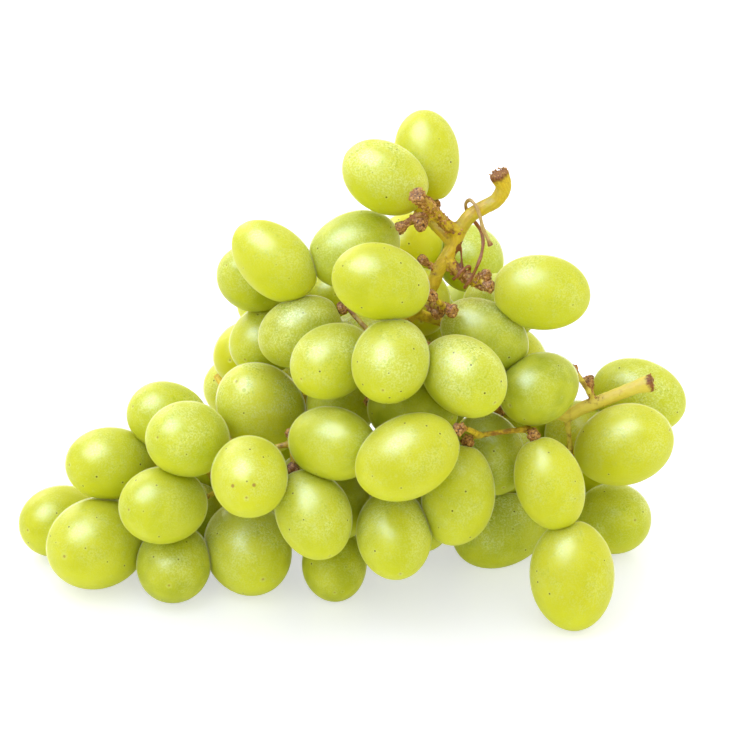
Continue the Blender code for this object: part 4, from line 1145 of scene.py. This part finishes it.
class Warts:
    """Warty wood: its cores, and the places and sizes of the small balls on them."""

    def __init__(self, draw):
        self.draw = draw
        self.cores = Wood()
        self.places = []
        self.sizes = []

    def add(self, places, radius_range):
        self.places.append(places)
        self.sizes.append(self.draw.uniform(*radius_range, len(places)))

    def add_knob(self, top, ahead, big=1.0):
        """A warty collar, with some of its warts on its end."""
        draw, stops = self.draw, np.array(COLLAR_STOPS)
        radii = stops[:, 1] * big
        self.cores.add(top + ahead * stops[:, :1], radii, 1.0)
        along = draw.uniform(stops[0, 0], stops[-1, 0], WARTS_A_COLLAR)
        turn = draw.uniform(0, 2 * math.pi, WARTS_A_COLLAR)
        capped = draw.random(WARTS_A_COLLAR) < CAPPED_SHARE
        along[capped] = stops[-1, 0]
        reach = np.interp(along, stops[:, 0], radii)
        reach[capped] *= np.sqrt(draw.random(capped.sum()))
        self.add(top + along[:, None] * ahead + reach[:, None] * outward_from(ahead, turn), WART_RADIUS)

    def add_crust(self, path, radii):
        """Warts scattered over a stem, about one for each stretch of the crust's spacing."""
        run = run_along(path)
        count = max(1, round(run[-1] / CRUST_SPACING))
        stops = self.draw.uniform(0.0, run[-1], count)
        middle = np.stack([np.interp(stops, run, path[:, k]) for k in range(3)], axis=1)
        outward = self.draw.normal(size=(count, 3))
        outward /= np.linalg.norm(outward, axis=1)[:, None]
        self.add(middle + outward * np.interp(stops, run, radii)[:, None], WART_RADIUS)

    def add_frayed_end(self, path, radius):
        """Short torn fibres round the rim of a cut end."""
        ahead = heading(path[1], path[0])
        outward = outward_from(ahead, self.draw.uniform(0, 2 * math.pi, FRAYED_WARTS))
        reach = radius * CUT_END_FLARE * self.draw.uniform(*FRAYED_REACH, FRAYED_WARTS)
        along = self.draw.uniform(*FRAYED_ALONG, FRAYED_WARTS)
        self.add(path[0] + outward * reach[:, None] + ahead * along[:, None], FRAYED_RADIUS)

    def piece(self, name, material):
        """All of it in one skin, where each point has its height on its wart, a shade and a crevice."""
        places, sizes = np.vstack(self.places), np.concatenate(self.sizes)
        data = drawn_tubes("collars", self.cores, CORE_ROUNDNESS)
        mesh = bmesh.new()
        mesh.from_mesh(data)
        points, faces = wart_mesh(places, sizes)
        corners = [mesh.verts.new(point * MM) for point in points]
        for face in faces:
            mesh.faces.new([corners[k] for k in face])
        mesh.to_mesh(data)
        mesh.free()
        points, _, faces = fused(data, *COLLAR_SKIN)
        tree = finder(places)
        found = [tree.find_n(point, 2) for point in points]
        nearest = np.array([first[1] for first, _ in found])
        height = np.array([first[2] for first, _ in found]) / sizes[nearest]
        shade = self.draw.uniform(0, 1, len(places))[nearest]
        apart = np.array([second[2] - first[2] for first, second in found])
        crevice = np.clip(1 - apart / CREVICE_WIDTH, 0, 1)
        wart = np.column_stack([np.clip(height, 0, HIGHEST_WART), shade, crevice])
        return mesh_piece(name, points, faces, material, {"wart": wart})


# The pieces of the bunch

def stump_radii(radius, path):
    return radius * np.interp(np.linspace(0, 1, len(path)), STUMP_STOPS, STUMP_TAPER)


def shape_stems(stems, empty_paths, berry_paths, shift):
    """The smooth wood: main stem, side stems, berry stalks and the stumps of the empty ones."""
    wood = Wood()
    for k, (start, stop) in enumerate(stems.chains):
        path = smooth_path(stems.bead[start:stop], FINE_STEPS)
        share = np.linspace(0, 1, len(path))
        radii = np.interp(share, np.linspace(0, 1, stop - start), stems.radius[start:stop])
        from_end = np.linalg.norm(path - path[0], axis=1)
        if k < SMOOTH_STEMS:
            radii *= 1.0 + CUT_FLARE * np.exp(-(from_end / CUT_FLARE_REACH) ** 2)
            brown = np.maximum(SEEN_STEM_BROWN, np.exp(-(from_end / CUT_BROWN_REACH) ** 2))
        else:
            radii *= 1.0 + FORK_SWELLING * np.exp(-(from_end / FORK_REACH) ** 2)
            brown = SIDE_BROWN
        wood.add(path, radii, brown)
    for (radius, _, _), path in zip(EMPTY_STALKS, empty_paths):
        path = smooth_path(path, FINE_STEPS)
        root_brown, more_brown = STUMP_BROWN
        wood.add(path, stump_radii(radius, path), root_brown + more_brown * np.linspace(0, 1, len(path)))
    splinter = smooth_path([from_view(*point) - shift for point in SPLINTER], COARSE_STEPS)
    last = len(SPLINTER) - 1
    wood.add(splinter, np.interp(np.linspace(0, last, len(splinter)), range(last + 1), SPLINTER_RADII), 1.0)
    for path in berry_paths:
        path = smooth_path(path, COARSE_STEPS)
        share = np.linspace(0, 1, len(path))
        root_brown, more_brown = STALK_BROWN
        wood.add(path, np.interp(share, STALK_STOPS, BERRY_STALK_RADII), root_brown + more_brown * share ** 2)
    return wood


def stem_piece(wood, material):
    """The wood in one skin, with bark that is slightly uneven."""
    points, normals, faces = fused(drawn_tubes("stems", wood, TUBE_ROUNDNESS), *STEM_SKIN)
    points = roughened(points, normals)
    return mesh_piece("stalk_stems", points, faces, material, bark_values(points, wood))


def collar_piece(name, berry_paths, draw, material):
    """The warty collars at the ends of some berry stalks."""
    warts = Warts(draw)
    for path in berry_paths:
        warts.add_knob(path[-1], heading(path[-2], path[-1]))
    return warts.piece(name, material)


def crust_piece(empty_paths, stems, draw, material):
    """The knobs and crusts of the empty stalks, and the frayed cut ends."""
    warts = Warts(draw)
    for (radius, widest, _), path in zip(EMPTY_STALKS, empty_paths):
        path = smooth_path(path, FINE_STEPS)
        warts.add_knob(path[-1], heading(path[-3], path[-1]), widest / WIDEST_COLLAR)
        warts.add_crust(path, stump_radii(radius, path))
    for start, stop in stems.chains[:SMOOTH_STEMS]:
        warts.add_frayed_end(stems.bead[start:stop], stems.radius[start])
    return warts.piece("stalk_crusts", material)


def tendril_piece(empty_paths, shift, material):
    """The dry tendril, pale where it hangs free and darker further on, with uneven, shrunken skin."""
    wood = Wood()
    path = smooth_path(tendril_route(empty_paths, shift), FINE_STEPS)
    share = np.linspace(0, 1, len(path))
    radii = TENDRIL_RADIUS + (TENDRIL_END_RADIUS - TENDRIL_RADIUS) * share
    radii *= 1.0 + TENDRIL_UNEVEN * np.sin(share * TENDRIL_WAVES)
    radii *= 1.0 + TENDRIL_FOOT * np.exp(-(share / TENDRIL_FOOT_SHARE) ** 2)
    wood.add(path, radii, np.interp(share, *TENDRIL_BROWN))
    points, _, faces = fused(drawn_tubes("tendril", wood, TUBE_ROUNDNESS), *TENDRIL_SKIN)
    return mesh_piece("tendril_twine", points, faces, material, bark_values(points, wood))


# Materials

class Nodes:
    """The nodes of one material or group. Each call adds a node and gives back what comes out of it."""

    def __init__(self, tree):
        self.tree = tree

    def fill(self, node, inputs):
        """Sets a node's inputs, as values or as links from other nodes."""
        for name, value in inputs.items():
            if isinstance(value, bpy.types.NodeSocket):
                self.tree.links.new(value, node.inputs[name])
            else:
                node.inputs[name].default_value = value

    def add(self, kind, inputs=None, **settings):
        node = self.tree.nodes.new(kind)
        for name, value in settings.items():
            setattr(node, name, value)
        self.fill(node, inputs or {})
        return node

    def math(self, operation, *values):
        return self.add("ShaderNodeMath", dict(enumerate(values)), operation=operation).outputs[0]

    def times(self, first, second):
        return self.math("MULTIPLY", first, second)

    def scaled(self, value, factor, offset):
        return self.math("MULTIPLY_ADD", value, factor, offset)

    def ramp(self, value, low, high, to_low=0.0, to_high=1.0):
        """A value stretched from one range to another, with soft ends."""
        inputs = {"Value": value, "From Min": low, "From Max": high, "To Min": to_low, "To Max": to_high}
        return self.add("ShaderNodeMapRange", inputs, interpolation_type="SMOOTHSTEP").outputs["Result"]

    def mix(self, share, first, second):
        """The first colour, with that share of the second."""
        return self.add("ShaderNodeMix", {0: share, 6: first, 7: second}, data_type="RGBA").outputs[2]

    def cover(self, colour, mask, strength, layer):
        """A colour with a layer over it where the mask is, at that strength."""
        return self.mix(self.times(mask, strength), colour, layer)

    def noise(self, place, scale, detail, roughness):
        inputs = {"Vector": place, "Scale": scale, "Detail": detail, "Roughness": roughness}
        return self.add("ShaderNodeTexNoise", inputs).outputs["Fac"]

    def split(self, vector):
        return self.add("ShaderNodeSeparateXYZ", {0: vector}).outputs

    def own_values(self, name):
        """A piece's own values at each point, as a vector."""
        return self.add("ShaderNodeAttribute", attribute_name=name).outputs["Vector"]

    def place(self):
        """The place on the object, in millimetres."""
        place = self.add("ShaderNodeTexCoord").outputs["Object"]
        return self.add("ShaderNodeVectorMath", {0: place, "Scale": 1 / MM}, operation="SCALE").outputs[0]

    def placed(self, group, inputs):
        """What comes out of a group, once it is placed with its own values."""
        return self.add("ShaderNodeGroup", inputs, node_tree=group).outputs

    def patches(self, group, place, kind):
        size, detail, low, high = kind
        inputs = {"Place": place, "Size": size, "Detail": detail, "From": low, "To": high}
        return self.placed(group, inputs)["Mask"]

    def relief(self, layers):
        """Low relief from (height, depth in millimetres) layers, each over the one before."""
        below = {}
        for height, depth in layers:
            inputs = {"Height": height, "Distance": depth * MM, "Strength": 1.0, **below}
            below = {"Normal": self.add("ShaderNodeBump", inputs).outputs["Normal"]}
        return below["Normal"]


def new_group(name, inputs, outputs):
    """A group with inputs of a name, kind and value: its tree, nodes, what goes in and its last node."""
    tree = bpy.data.node_groups.new(name, "ShaderNodeTree")
    for label, kind, value in inputs:
        socket = tree.interface.new_socket(label, in_out="INPUT", socket_type="NodeSocket" + kind)
        if value is not None:
            socket.default_value = value
    for label in outputs:
        tree.interface.new_socket(label, in_out="OUTPUT", socket_type="NodeSocketFloat")
    nodes = Nodes(tree)
    return tree, nodes, nodes.add("NodeGroupInput").outputs, nodes.add("NodeGroupOutput")


def patches_group():
    """Soft-edged patches of one size, such as rubbed bloom or stained bark."""
    tree, nodes, given, result = new_group(
        "patches", [("Place", "Vector", None), ("Size", "Float", 5.0), ("Detail", "Float", 3.0),
                    ("From", "Float", 0.4), ("To", "Float", 0.6)], ["Mask"])
    scale = nodes.math("DIVIDE", 1.0, given["Size"])
    cloud = nodes.noise(given["Place"], scale, given["Detail"], PATCH_ROUGHNESS)
    nodes.fill(result, {"Mask": nodes.ramp(cloud, given["From"], given["To"])})
    return tree


def pores_group():
    """Small round pores scattered over a skin, some fainter than others, each with a pale ring."""
    tree, nodes, given, result = new_group(
        "pores", [("Place", "Vector", None), ("Spacing", "Float", 4.0), ("Radius", "Float", 0.3)],
        ["Pore", "Ring"])
    scale = nodes.math("DIVIDE", 1.0, given["Spacing"])
    cells = nodes.add("ShaderNodeTexVoronoi", {"Vector": given["Place"], "Scale": scale}).outputs
    share = nodes.math("DIVIDE", nodes.times(cells["Distance"], given["Spacing"]), given["Radius"])
    chance = nodes.add("ShaderNodeSeparateColor", {"Color": cells["Color"]}).outputs[0]
    nodes.fill(result, {
        "Pore": nodes.times(nodes.ramp(share, *PORE_EDGE), nodes.ramp(chance, *PORE_CHANCE)),
        "Ring": nodes.times(nodes.ramp(share, *RING_OUTSIDE), nodes.ramp(share, *RING_INSIDE))})
    return tree


def grain_group():
    """Long fibres that run along a stem."""
    tree, nodes, given, result = new_group(
        "grain", [("Bark Place", "Vector", None), ("Stretch", "Float", 0.12), ("Fineness", "Float", 2.2)],
        ["Fibre"])
    squeeze = nodes.add("ShaderNodeCombineXYZ", {0: 1.0, 1: 1.0, 2: given["Stretch"]}).outputs[0]
    place = nodes.add("ShaderNodeVectorMath", {0: given["Bark Place"], 1: squeeze}, operation="MULTIPLY")
    streaks = nodes.noise(place.outputs[0], given["Fineness"], FIBRE_DETAIL, FIBRE_ROUGHNESS)
    nodes.fill(result, {"Fibre": nodes.ramp(streaks, *FIBRE_EDGE)})
    return tree


def new_material(name):
    material = bpy.data.materials.new(name)
    material.use_nodes = True
    return material, Nodes(material.node_tree), material.node_tree.nodes["Principled BSDF"]


def grape_skin(patches, pores, marks):
    """Thin translucent skin over pale flesh, dusted with bloom, with brown pores and a scar at the tip, and
    painted light: a haze on what faces up, a glow on what faces down, shade on low berries and a pale,
    glowing rim.
    """
    material, nodes, shader = new_material("grape skin")
    place = nodes.place()
    on_berry = nodes.own_values("place_on_berry")
    across, over, along = nodes.split(on_berry)
    yellow, dusted, dark_and_shaded = nodes.split(nodes.own_values("character"))
    facing_up = nodes.split(nodes.add("ShaderNodeNewGeometry").outputs["Normal"])[2]
    colour = nodes.mix(yellow, GREEN_FLESH, YELLOW_FLESH)
    # Darker green: partly the berry's own colour, partly painted shade on the low berries near the surface.
    colour = nodes.cover(colour, dark_and_shaded, DARK_AND_SHADED_COVER, DARK_AND_SHADED_FLESH)
    colour = nodes.cover(colour, nodes.patches(patches, place, CLOUDS), CLOUD_COVER, LIT_FLESH)

    around = nodes.math("ARCTAN2", over, across)
    wander = nodes.noise(on_berry, *VEIN_NOISE)
    turned = nodes.scaled(around, VEINS / 2, nodes.times(wander, VEIN_WANDER))
    vein = nodes.ramp(nodes.math("ABSOLUTE", nodes.math("SINE", turned)), *VEIN_EDGE)
    vein = nodes.times(vein, nodes.ramp(wander, *VEIN_BREAKS))
    colour = nodes.cover(colour, vein, VEIN_COVER, LIT_FLESH)

    wide = nodes.patches(patches, place, DUSTED_PATCHES)
    fine = nodes.patches(patches, place, DUST_GRAINS)
    # Bloom, whiter on what faces up: partly real bloom, partly a painted haze of the light from above.
    bloom_and_top_haze = nodes.times(dusted, nodes.ramp(facing_up, *BLOOM_AND_TOP_HAZE_FACING))
    bloom = nodes.times(nodes.scaled(wide, *BLOOM_UNEVEN), bloom_and_top_haze)
    speckled = nodes.times(bloom, nodes.scaled(fine, *BLOOM_UNEVEN))
    colour = nodes.cover(colour, speckled, BLOOM_COVER, BLOOM)
    rubbed = nodes.times(nodes.patches(patches, place, RUBBED_PATCHES), bloom_and_top_haze)
    fresh = nodes.times(nodes.patches(patches, place, FRESH_DOTS), rubbed)
    colour = nodes.cover(colour, fresh, FRESH_COVER, FRESH_DOT)
    # Painted light from below: a paler yellow on what faces down, for the glow through the flesh and the
    # light off the table.
    below = nodes.ramp(facing_up, *PAINTED_GLOW_FACING)
    colour = nodes.cover(colour, below, nodes.scaled(dark_and_shaded, *PAINTED_GLOW_COVER), PAINTED_GLOW_BELOW)

    for middle, radius, tint, strength in marks:
        away = nodes.add("ShaderNodeVectorMath", {0: place, 1: middle}, operation="DISTANCE").outputs["Value"]
        mark = nodes.ramp(away, *(radius * edge for edge in MARK_EDGE))
        colour = nodes.cover(colour, mark, strength, tint)
    dots = nodes.placed(pores, {"Place": place, **SKIN_PORES})
    colour = nodes.cover(colour, dots["Ring"], PORE_RING_COVER, BLOOM)
    colour = nodes.cover(colour, dots["Pore"], PORE_COVER, PORE)

    from_axis = nodes.math("SQRT", nodes.math("ADD", nodes.times(across, across), nodes.times(over, over)))
    at_tip = nodes.math("GREATER_THAN", along, 0.0)
    ring = nodes.times(nodes.ramp(from_axis, *TIP_RING_REACH), at_tip)
    colour = nodes.cover(colour, ring, TIP_RING_COVER, BLOOM)
    scar = nodes.times(nodes.ramp(from_axis, *SCAR_REACH), at_tip)
    colour = nodes.cover(colour, scar, SCAR_COVER, SCAR)
    by_stalk = nodes.times(nodes.ramp(from_axis, *STALK_END_REACH), nodes.math("LESS_THAN", along, 0.0))
    colour = nodes.cover(colour, by_stalk, STALK_END_COVER, STALK_END)

    # Painted rim light: a pale edge and a faint glow where the skin turns away from the viewer, stronger
    # where it faces up, for the reflection of the white room.
    edge = nodes.add("ShaderNodeLayerWeight").outputs["Facing"]
    rim = nodes.times(nodes.ramp(edge, *RIM_EDGE), nodes.ramp(facing_up, *RIM_FACING))
    rim = nodes.times(rim, nodes.scaled(wide, *RIM_UNEVEN))
    smooth_edge = nodes.scaled(rim, *RIM_ROUGHNESS)
    dust_depth, grain_depth, pore_depth = SKIN_RELIEF
    nodes.fill(shader, SKIN_LIGHT)
    nodes.fill(shader, {
        "Base Color": nodes.cover(colour, rim, RIM_COVER, RIM_LIGHT),
        "Emission Strength": nodes.times(rim, RIM_GLOW),
        "Roughness": nodes.times(nodes.scaled(speckled, *SKIN_ROUGHNESS), smooth_edge),
        "Coat Roughness": nodes.times(smooth_edge, COAT_ROUGHNESS),
        "Normal": nodes.relief([(wide, dust_depth), (fine, grain_depth),
                                (nodes.math("SUBTRACT", dots["Ring"], dots["Pore"]), pore_depth)])})
    return material


def stem_bark(patches, pores, grain):
    """Yellow-green bark with long fibres, browner towards the knots and cut ends."""
    material, nodes, shader = new_material("stem bark")
    place = nodes.place()
    browned = nodes.split(nodes.own_values("browned"))[0]
    fibre = nodes.placed(grain, {"Bark Place": nodes.own_values("bark_place"), **BARK_FIBRES})["Fibre"]
    stain = nodes.patches(patches, place, BARK_STAINS)
    colour = nodes.mix(fibre, STRAW_DARK, STRAW)
    colour = nodes.cover(colour, nodes.patches(patches, place, BARK_GREENS), GREEN_COVER, OLIVE)
    # Paler across the wing: partly its own paler straw, partly painted light on a stem that lies in shade.
    paler = nodes.ramp(nodes.split(place)[0], *PALE_AND_PAINTED_LIGHT_BETWEEN)
    colour = nodes.cover(colour, paler, PALE_AND_PAINTED_LIGHT_COVER, STRAW_PALE)
    brown = nodes.ramp(nodes.scaled(stain, STAIN_BROWN, browned), *BROWN_EDGE)
    colour = nodes.mix(brown, colour, nodes.mix(fibre, RUST_DARK, RUST))
    pore = nodes.placed(pores, {"Place": place, **BARK_PORES})["Pore"]
    nodes.fill(shader, BARK_FLESH)
    nodes.fill(shader, {
        "Base Color": nodes.cover(colour, pore, BARK_PORE_COVER, RUST_DARK),
        "Roughness": nodes.scaled(brown, *BARK_ROUGHNESS),
        "Specular IOR Level": WOOD_SHINE,
        "Normal": nodes.relief(zip((fibre, pore, stain), BARK_RELIEF))})
    return material


def warty_crust(patches):
    """Rust-brown warts with pale tops, and painted shade darkening the crevices and low spots between them.
    """
    material, nodes, shader = new_material("warty crust")
    place = nodes.place()
    height, shade, crevice = nodes.split(nodes.own_values("wart"))
    colour = nodes.mix(shade, RUST, WART_PALE)
    # Painted shade: darker in the crevices and low spots between the warts.
    crevice_shade = nodes.math("MAXIMUM", nodes.ramp(height, *LOW_SPOT_SHADE_EDGE), nodes.times(crevice, CREVICE_COVER))
    colour = nodes.mix(crevice_shade, colour, CREVICE_SHADE)
    colour = nodes.cover(colour, nodes.patches(patches, place, MOULD), MOULD_COVER, OLIVE_DARK)
    fleck = nodes.patches(patches, place, FLECKS)
    nodes.fill(shader, {
        "Base Color": nodes.cover(colour, fleck, FLECK_COVER, WART_PALE),
        "Roughness": nodes.scaled(fleck, *CRUST_ROUGHNESS),
        "Specular IOR Level": WOOD_SHINE,
        "Normal": nodes.relief([(fleck, CRUST_RELIEF)])})
    return material


def dry_tendril(patches, grain):
    """Shrunken tendril skin: straw where it is young, red-brown where it has dried."""
    material, nodes, shader = new_material("dry tendril")
    browned = nodes.split(nodes.own_values("browned"))[0]
    fibre = nodes.placed(grain, {"Bark Place": nodes.own_values("bark_place"), **TENDRIL_FIBRES})["Fibre"]
    stain = nodes.patches(patches, nodes.place(), TENDRIL_STAINS)
    young = nodes.mix(fibre, TENDRIL_TAN, TENDRIL_PALE)
    dried = nodes.mix(fibre, TENDRIL_DARK, TENDRIL_RED)
    share = nodes.ramp(nodes.scaled(stain, TENDRIL_STAIN_BROWN, browned), *DRIED_EDGE)
    nodes.fill(shader, {
        "Base Color": nodes.mix(share, young, dried),
        "Roughness": nodes.scaled(stain, *TENDRIL_ROUGHNESS),
        "Specular IOR Level": WOOD_SHINE,
        "Normal": nodes.relief([(fibre, TENDRIL_RELIEF)])})
    return material


# Stage

def white_table(patches):
    material, nodes, shader = new_material("white table")
    haze = nodes.patches(patches, nodes.place(), TABLE_HAZE)
    seen = nodes.add("ShaderNodeLightPath").outputs["Is Camera Ray"]
    nodes.fill(shader, {
        "Base Color": nodes.mix(haze, TABLE_WHITE, TABLE_COOL),
        "Roughness": nodes.scaled(haze, *TABLE_ROUGHNESS),
        "Emission Color": nodes.mix(seen, TABLE_LIGHT, TABLE_SHOWN),
        "Emission Strength": 1.0})
    return material


def lay_table(material):
    mesh = bmesh.new()
    bmesh.ops.create_grid(mesh, x_segments=1, y_segments=1, size=TABLE_SIZE)
    data = bpy.data.meshes.new("table")
    mesh.to_mesh(data)
    mesh.free()
    data.materials.append(material)
    table = shown("table", data)


def set_softbox(name, place, size, power, colour, lights):
    """A square lamp that points at the bunch. One that lights nothing shows only as a gleam."""
    lamp = bpy.data.lights.new(name, "AREA")
    lamp.size = size
    lamp.energy = power
    lamp.color = colour
    holder = shown(name, lamp)
    holder.location = place
    holder.rotation_euler = (Vector(place) - Vector(LAMP_AIM)).to_track_quat("Z", "Y").to_euler()
    holder.visible_diffuse = lights


def light_room():
    world = bpy.data.worlds.new("white room")
    world.use_nodes = True
    background = world.node_tree.nodes["Background"]
    background.inputs["Color"].default_value = ROOM_COLOUR
    background.inputs["Strength"].default_value = ROOM_STRENGTH
    bpy.context.scene.world = world
    for lamp in LAMPS:
        set_softbox(*lamp)
    bpy.context.scene.view_settings.view_transform = "Standard"


def place_camera(shift):
    camera = bpy.data.cameras.new("camera")
    camera.sensor_width = SENSOR_WIDTH
    camera.lens = SENSOR_WIDTH * VIEW_DISTANCE * PIXELS_PER_MM / PHOTO_SIDE
    camera.clip_start, camera.clip_end = CLIP
    holder = shown("camera", camera)
    holder.location = (EYE - shift) * MM
    holder.rotation_euler = (math.pi / 2 - VIEW_TILT, 0.0, 0.0)
    bpy.context.scene.camera = holder


def main():
    heap, stems, spray_of = lay_out()
    shift = middle_of(heap)
    heap.place = heap.place - shift
    stems.bead = stems.bead - shift
    patches, pores, grain = patches_group(), pores_group(), grain_group()
    place_camera(shift)
    light_room()
    lay_table(white_table(patches))

    marks = [(mark_place(heap, berry, across, up, shift), radius, tint, strength)
             for berry, across, up, radius, tint, strength in MARKS]
    skin = grape_skin(patches, pores, marks)
    directions, faces = berry_pattern()
    for k, node in enumerate(SPRAYS):
        members = np.nonzero(spray_of == k)[0]
        piece = berry_piece(node.replace("berries", "grapes"), members, heap, directions, faces, skin)
        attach(piece, "root")
        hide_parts(node)

    empty_paths = grow_empty_stalks(stems, shift)
    berry_paths = grow_berry_stalks(heap, stems)
    wood = shape_stems(stems, empty_paths, berry_paths, shift)
    crust, draw = warty_crust(patches), np.random.default_rng(SEED)
    half = len(berry_paths) // 2
    for piece in (stem_piece(wood, stem_bark(patches, pores, grain)),
                  collar_piece("stalk_collars_1", berry_paths[:half], draw, crust),
                  collar_piece("stalk_collars_2", berry_paths[half:], draw, crust),
                  crust_piece(empty_paths, stems, draw, crust)):
        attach(piece, "root")
        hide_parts("stalk")
    tendril = tendril_piece(empty_paths, shift, dry_tendril(patches, grain))
    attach(tendril, "root")
    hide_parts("tendril")


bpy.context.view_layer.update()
main()
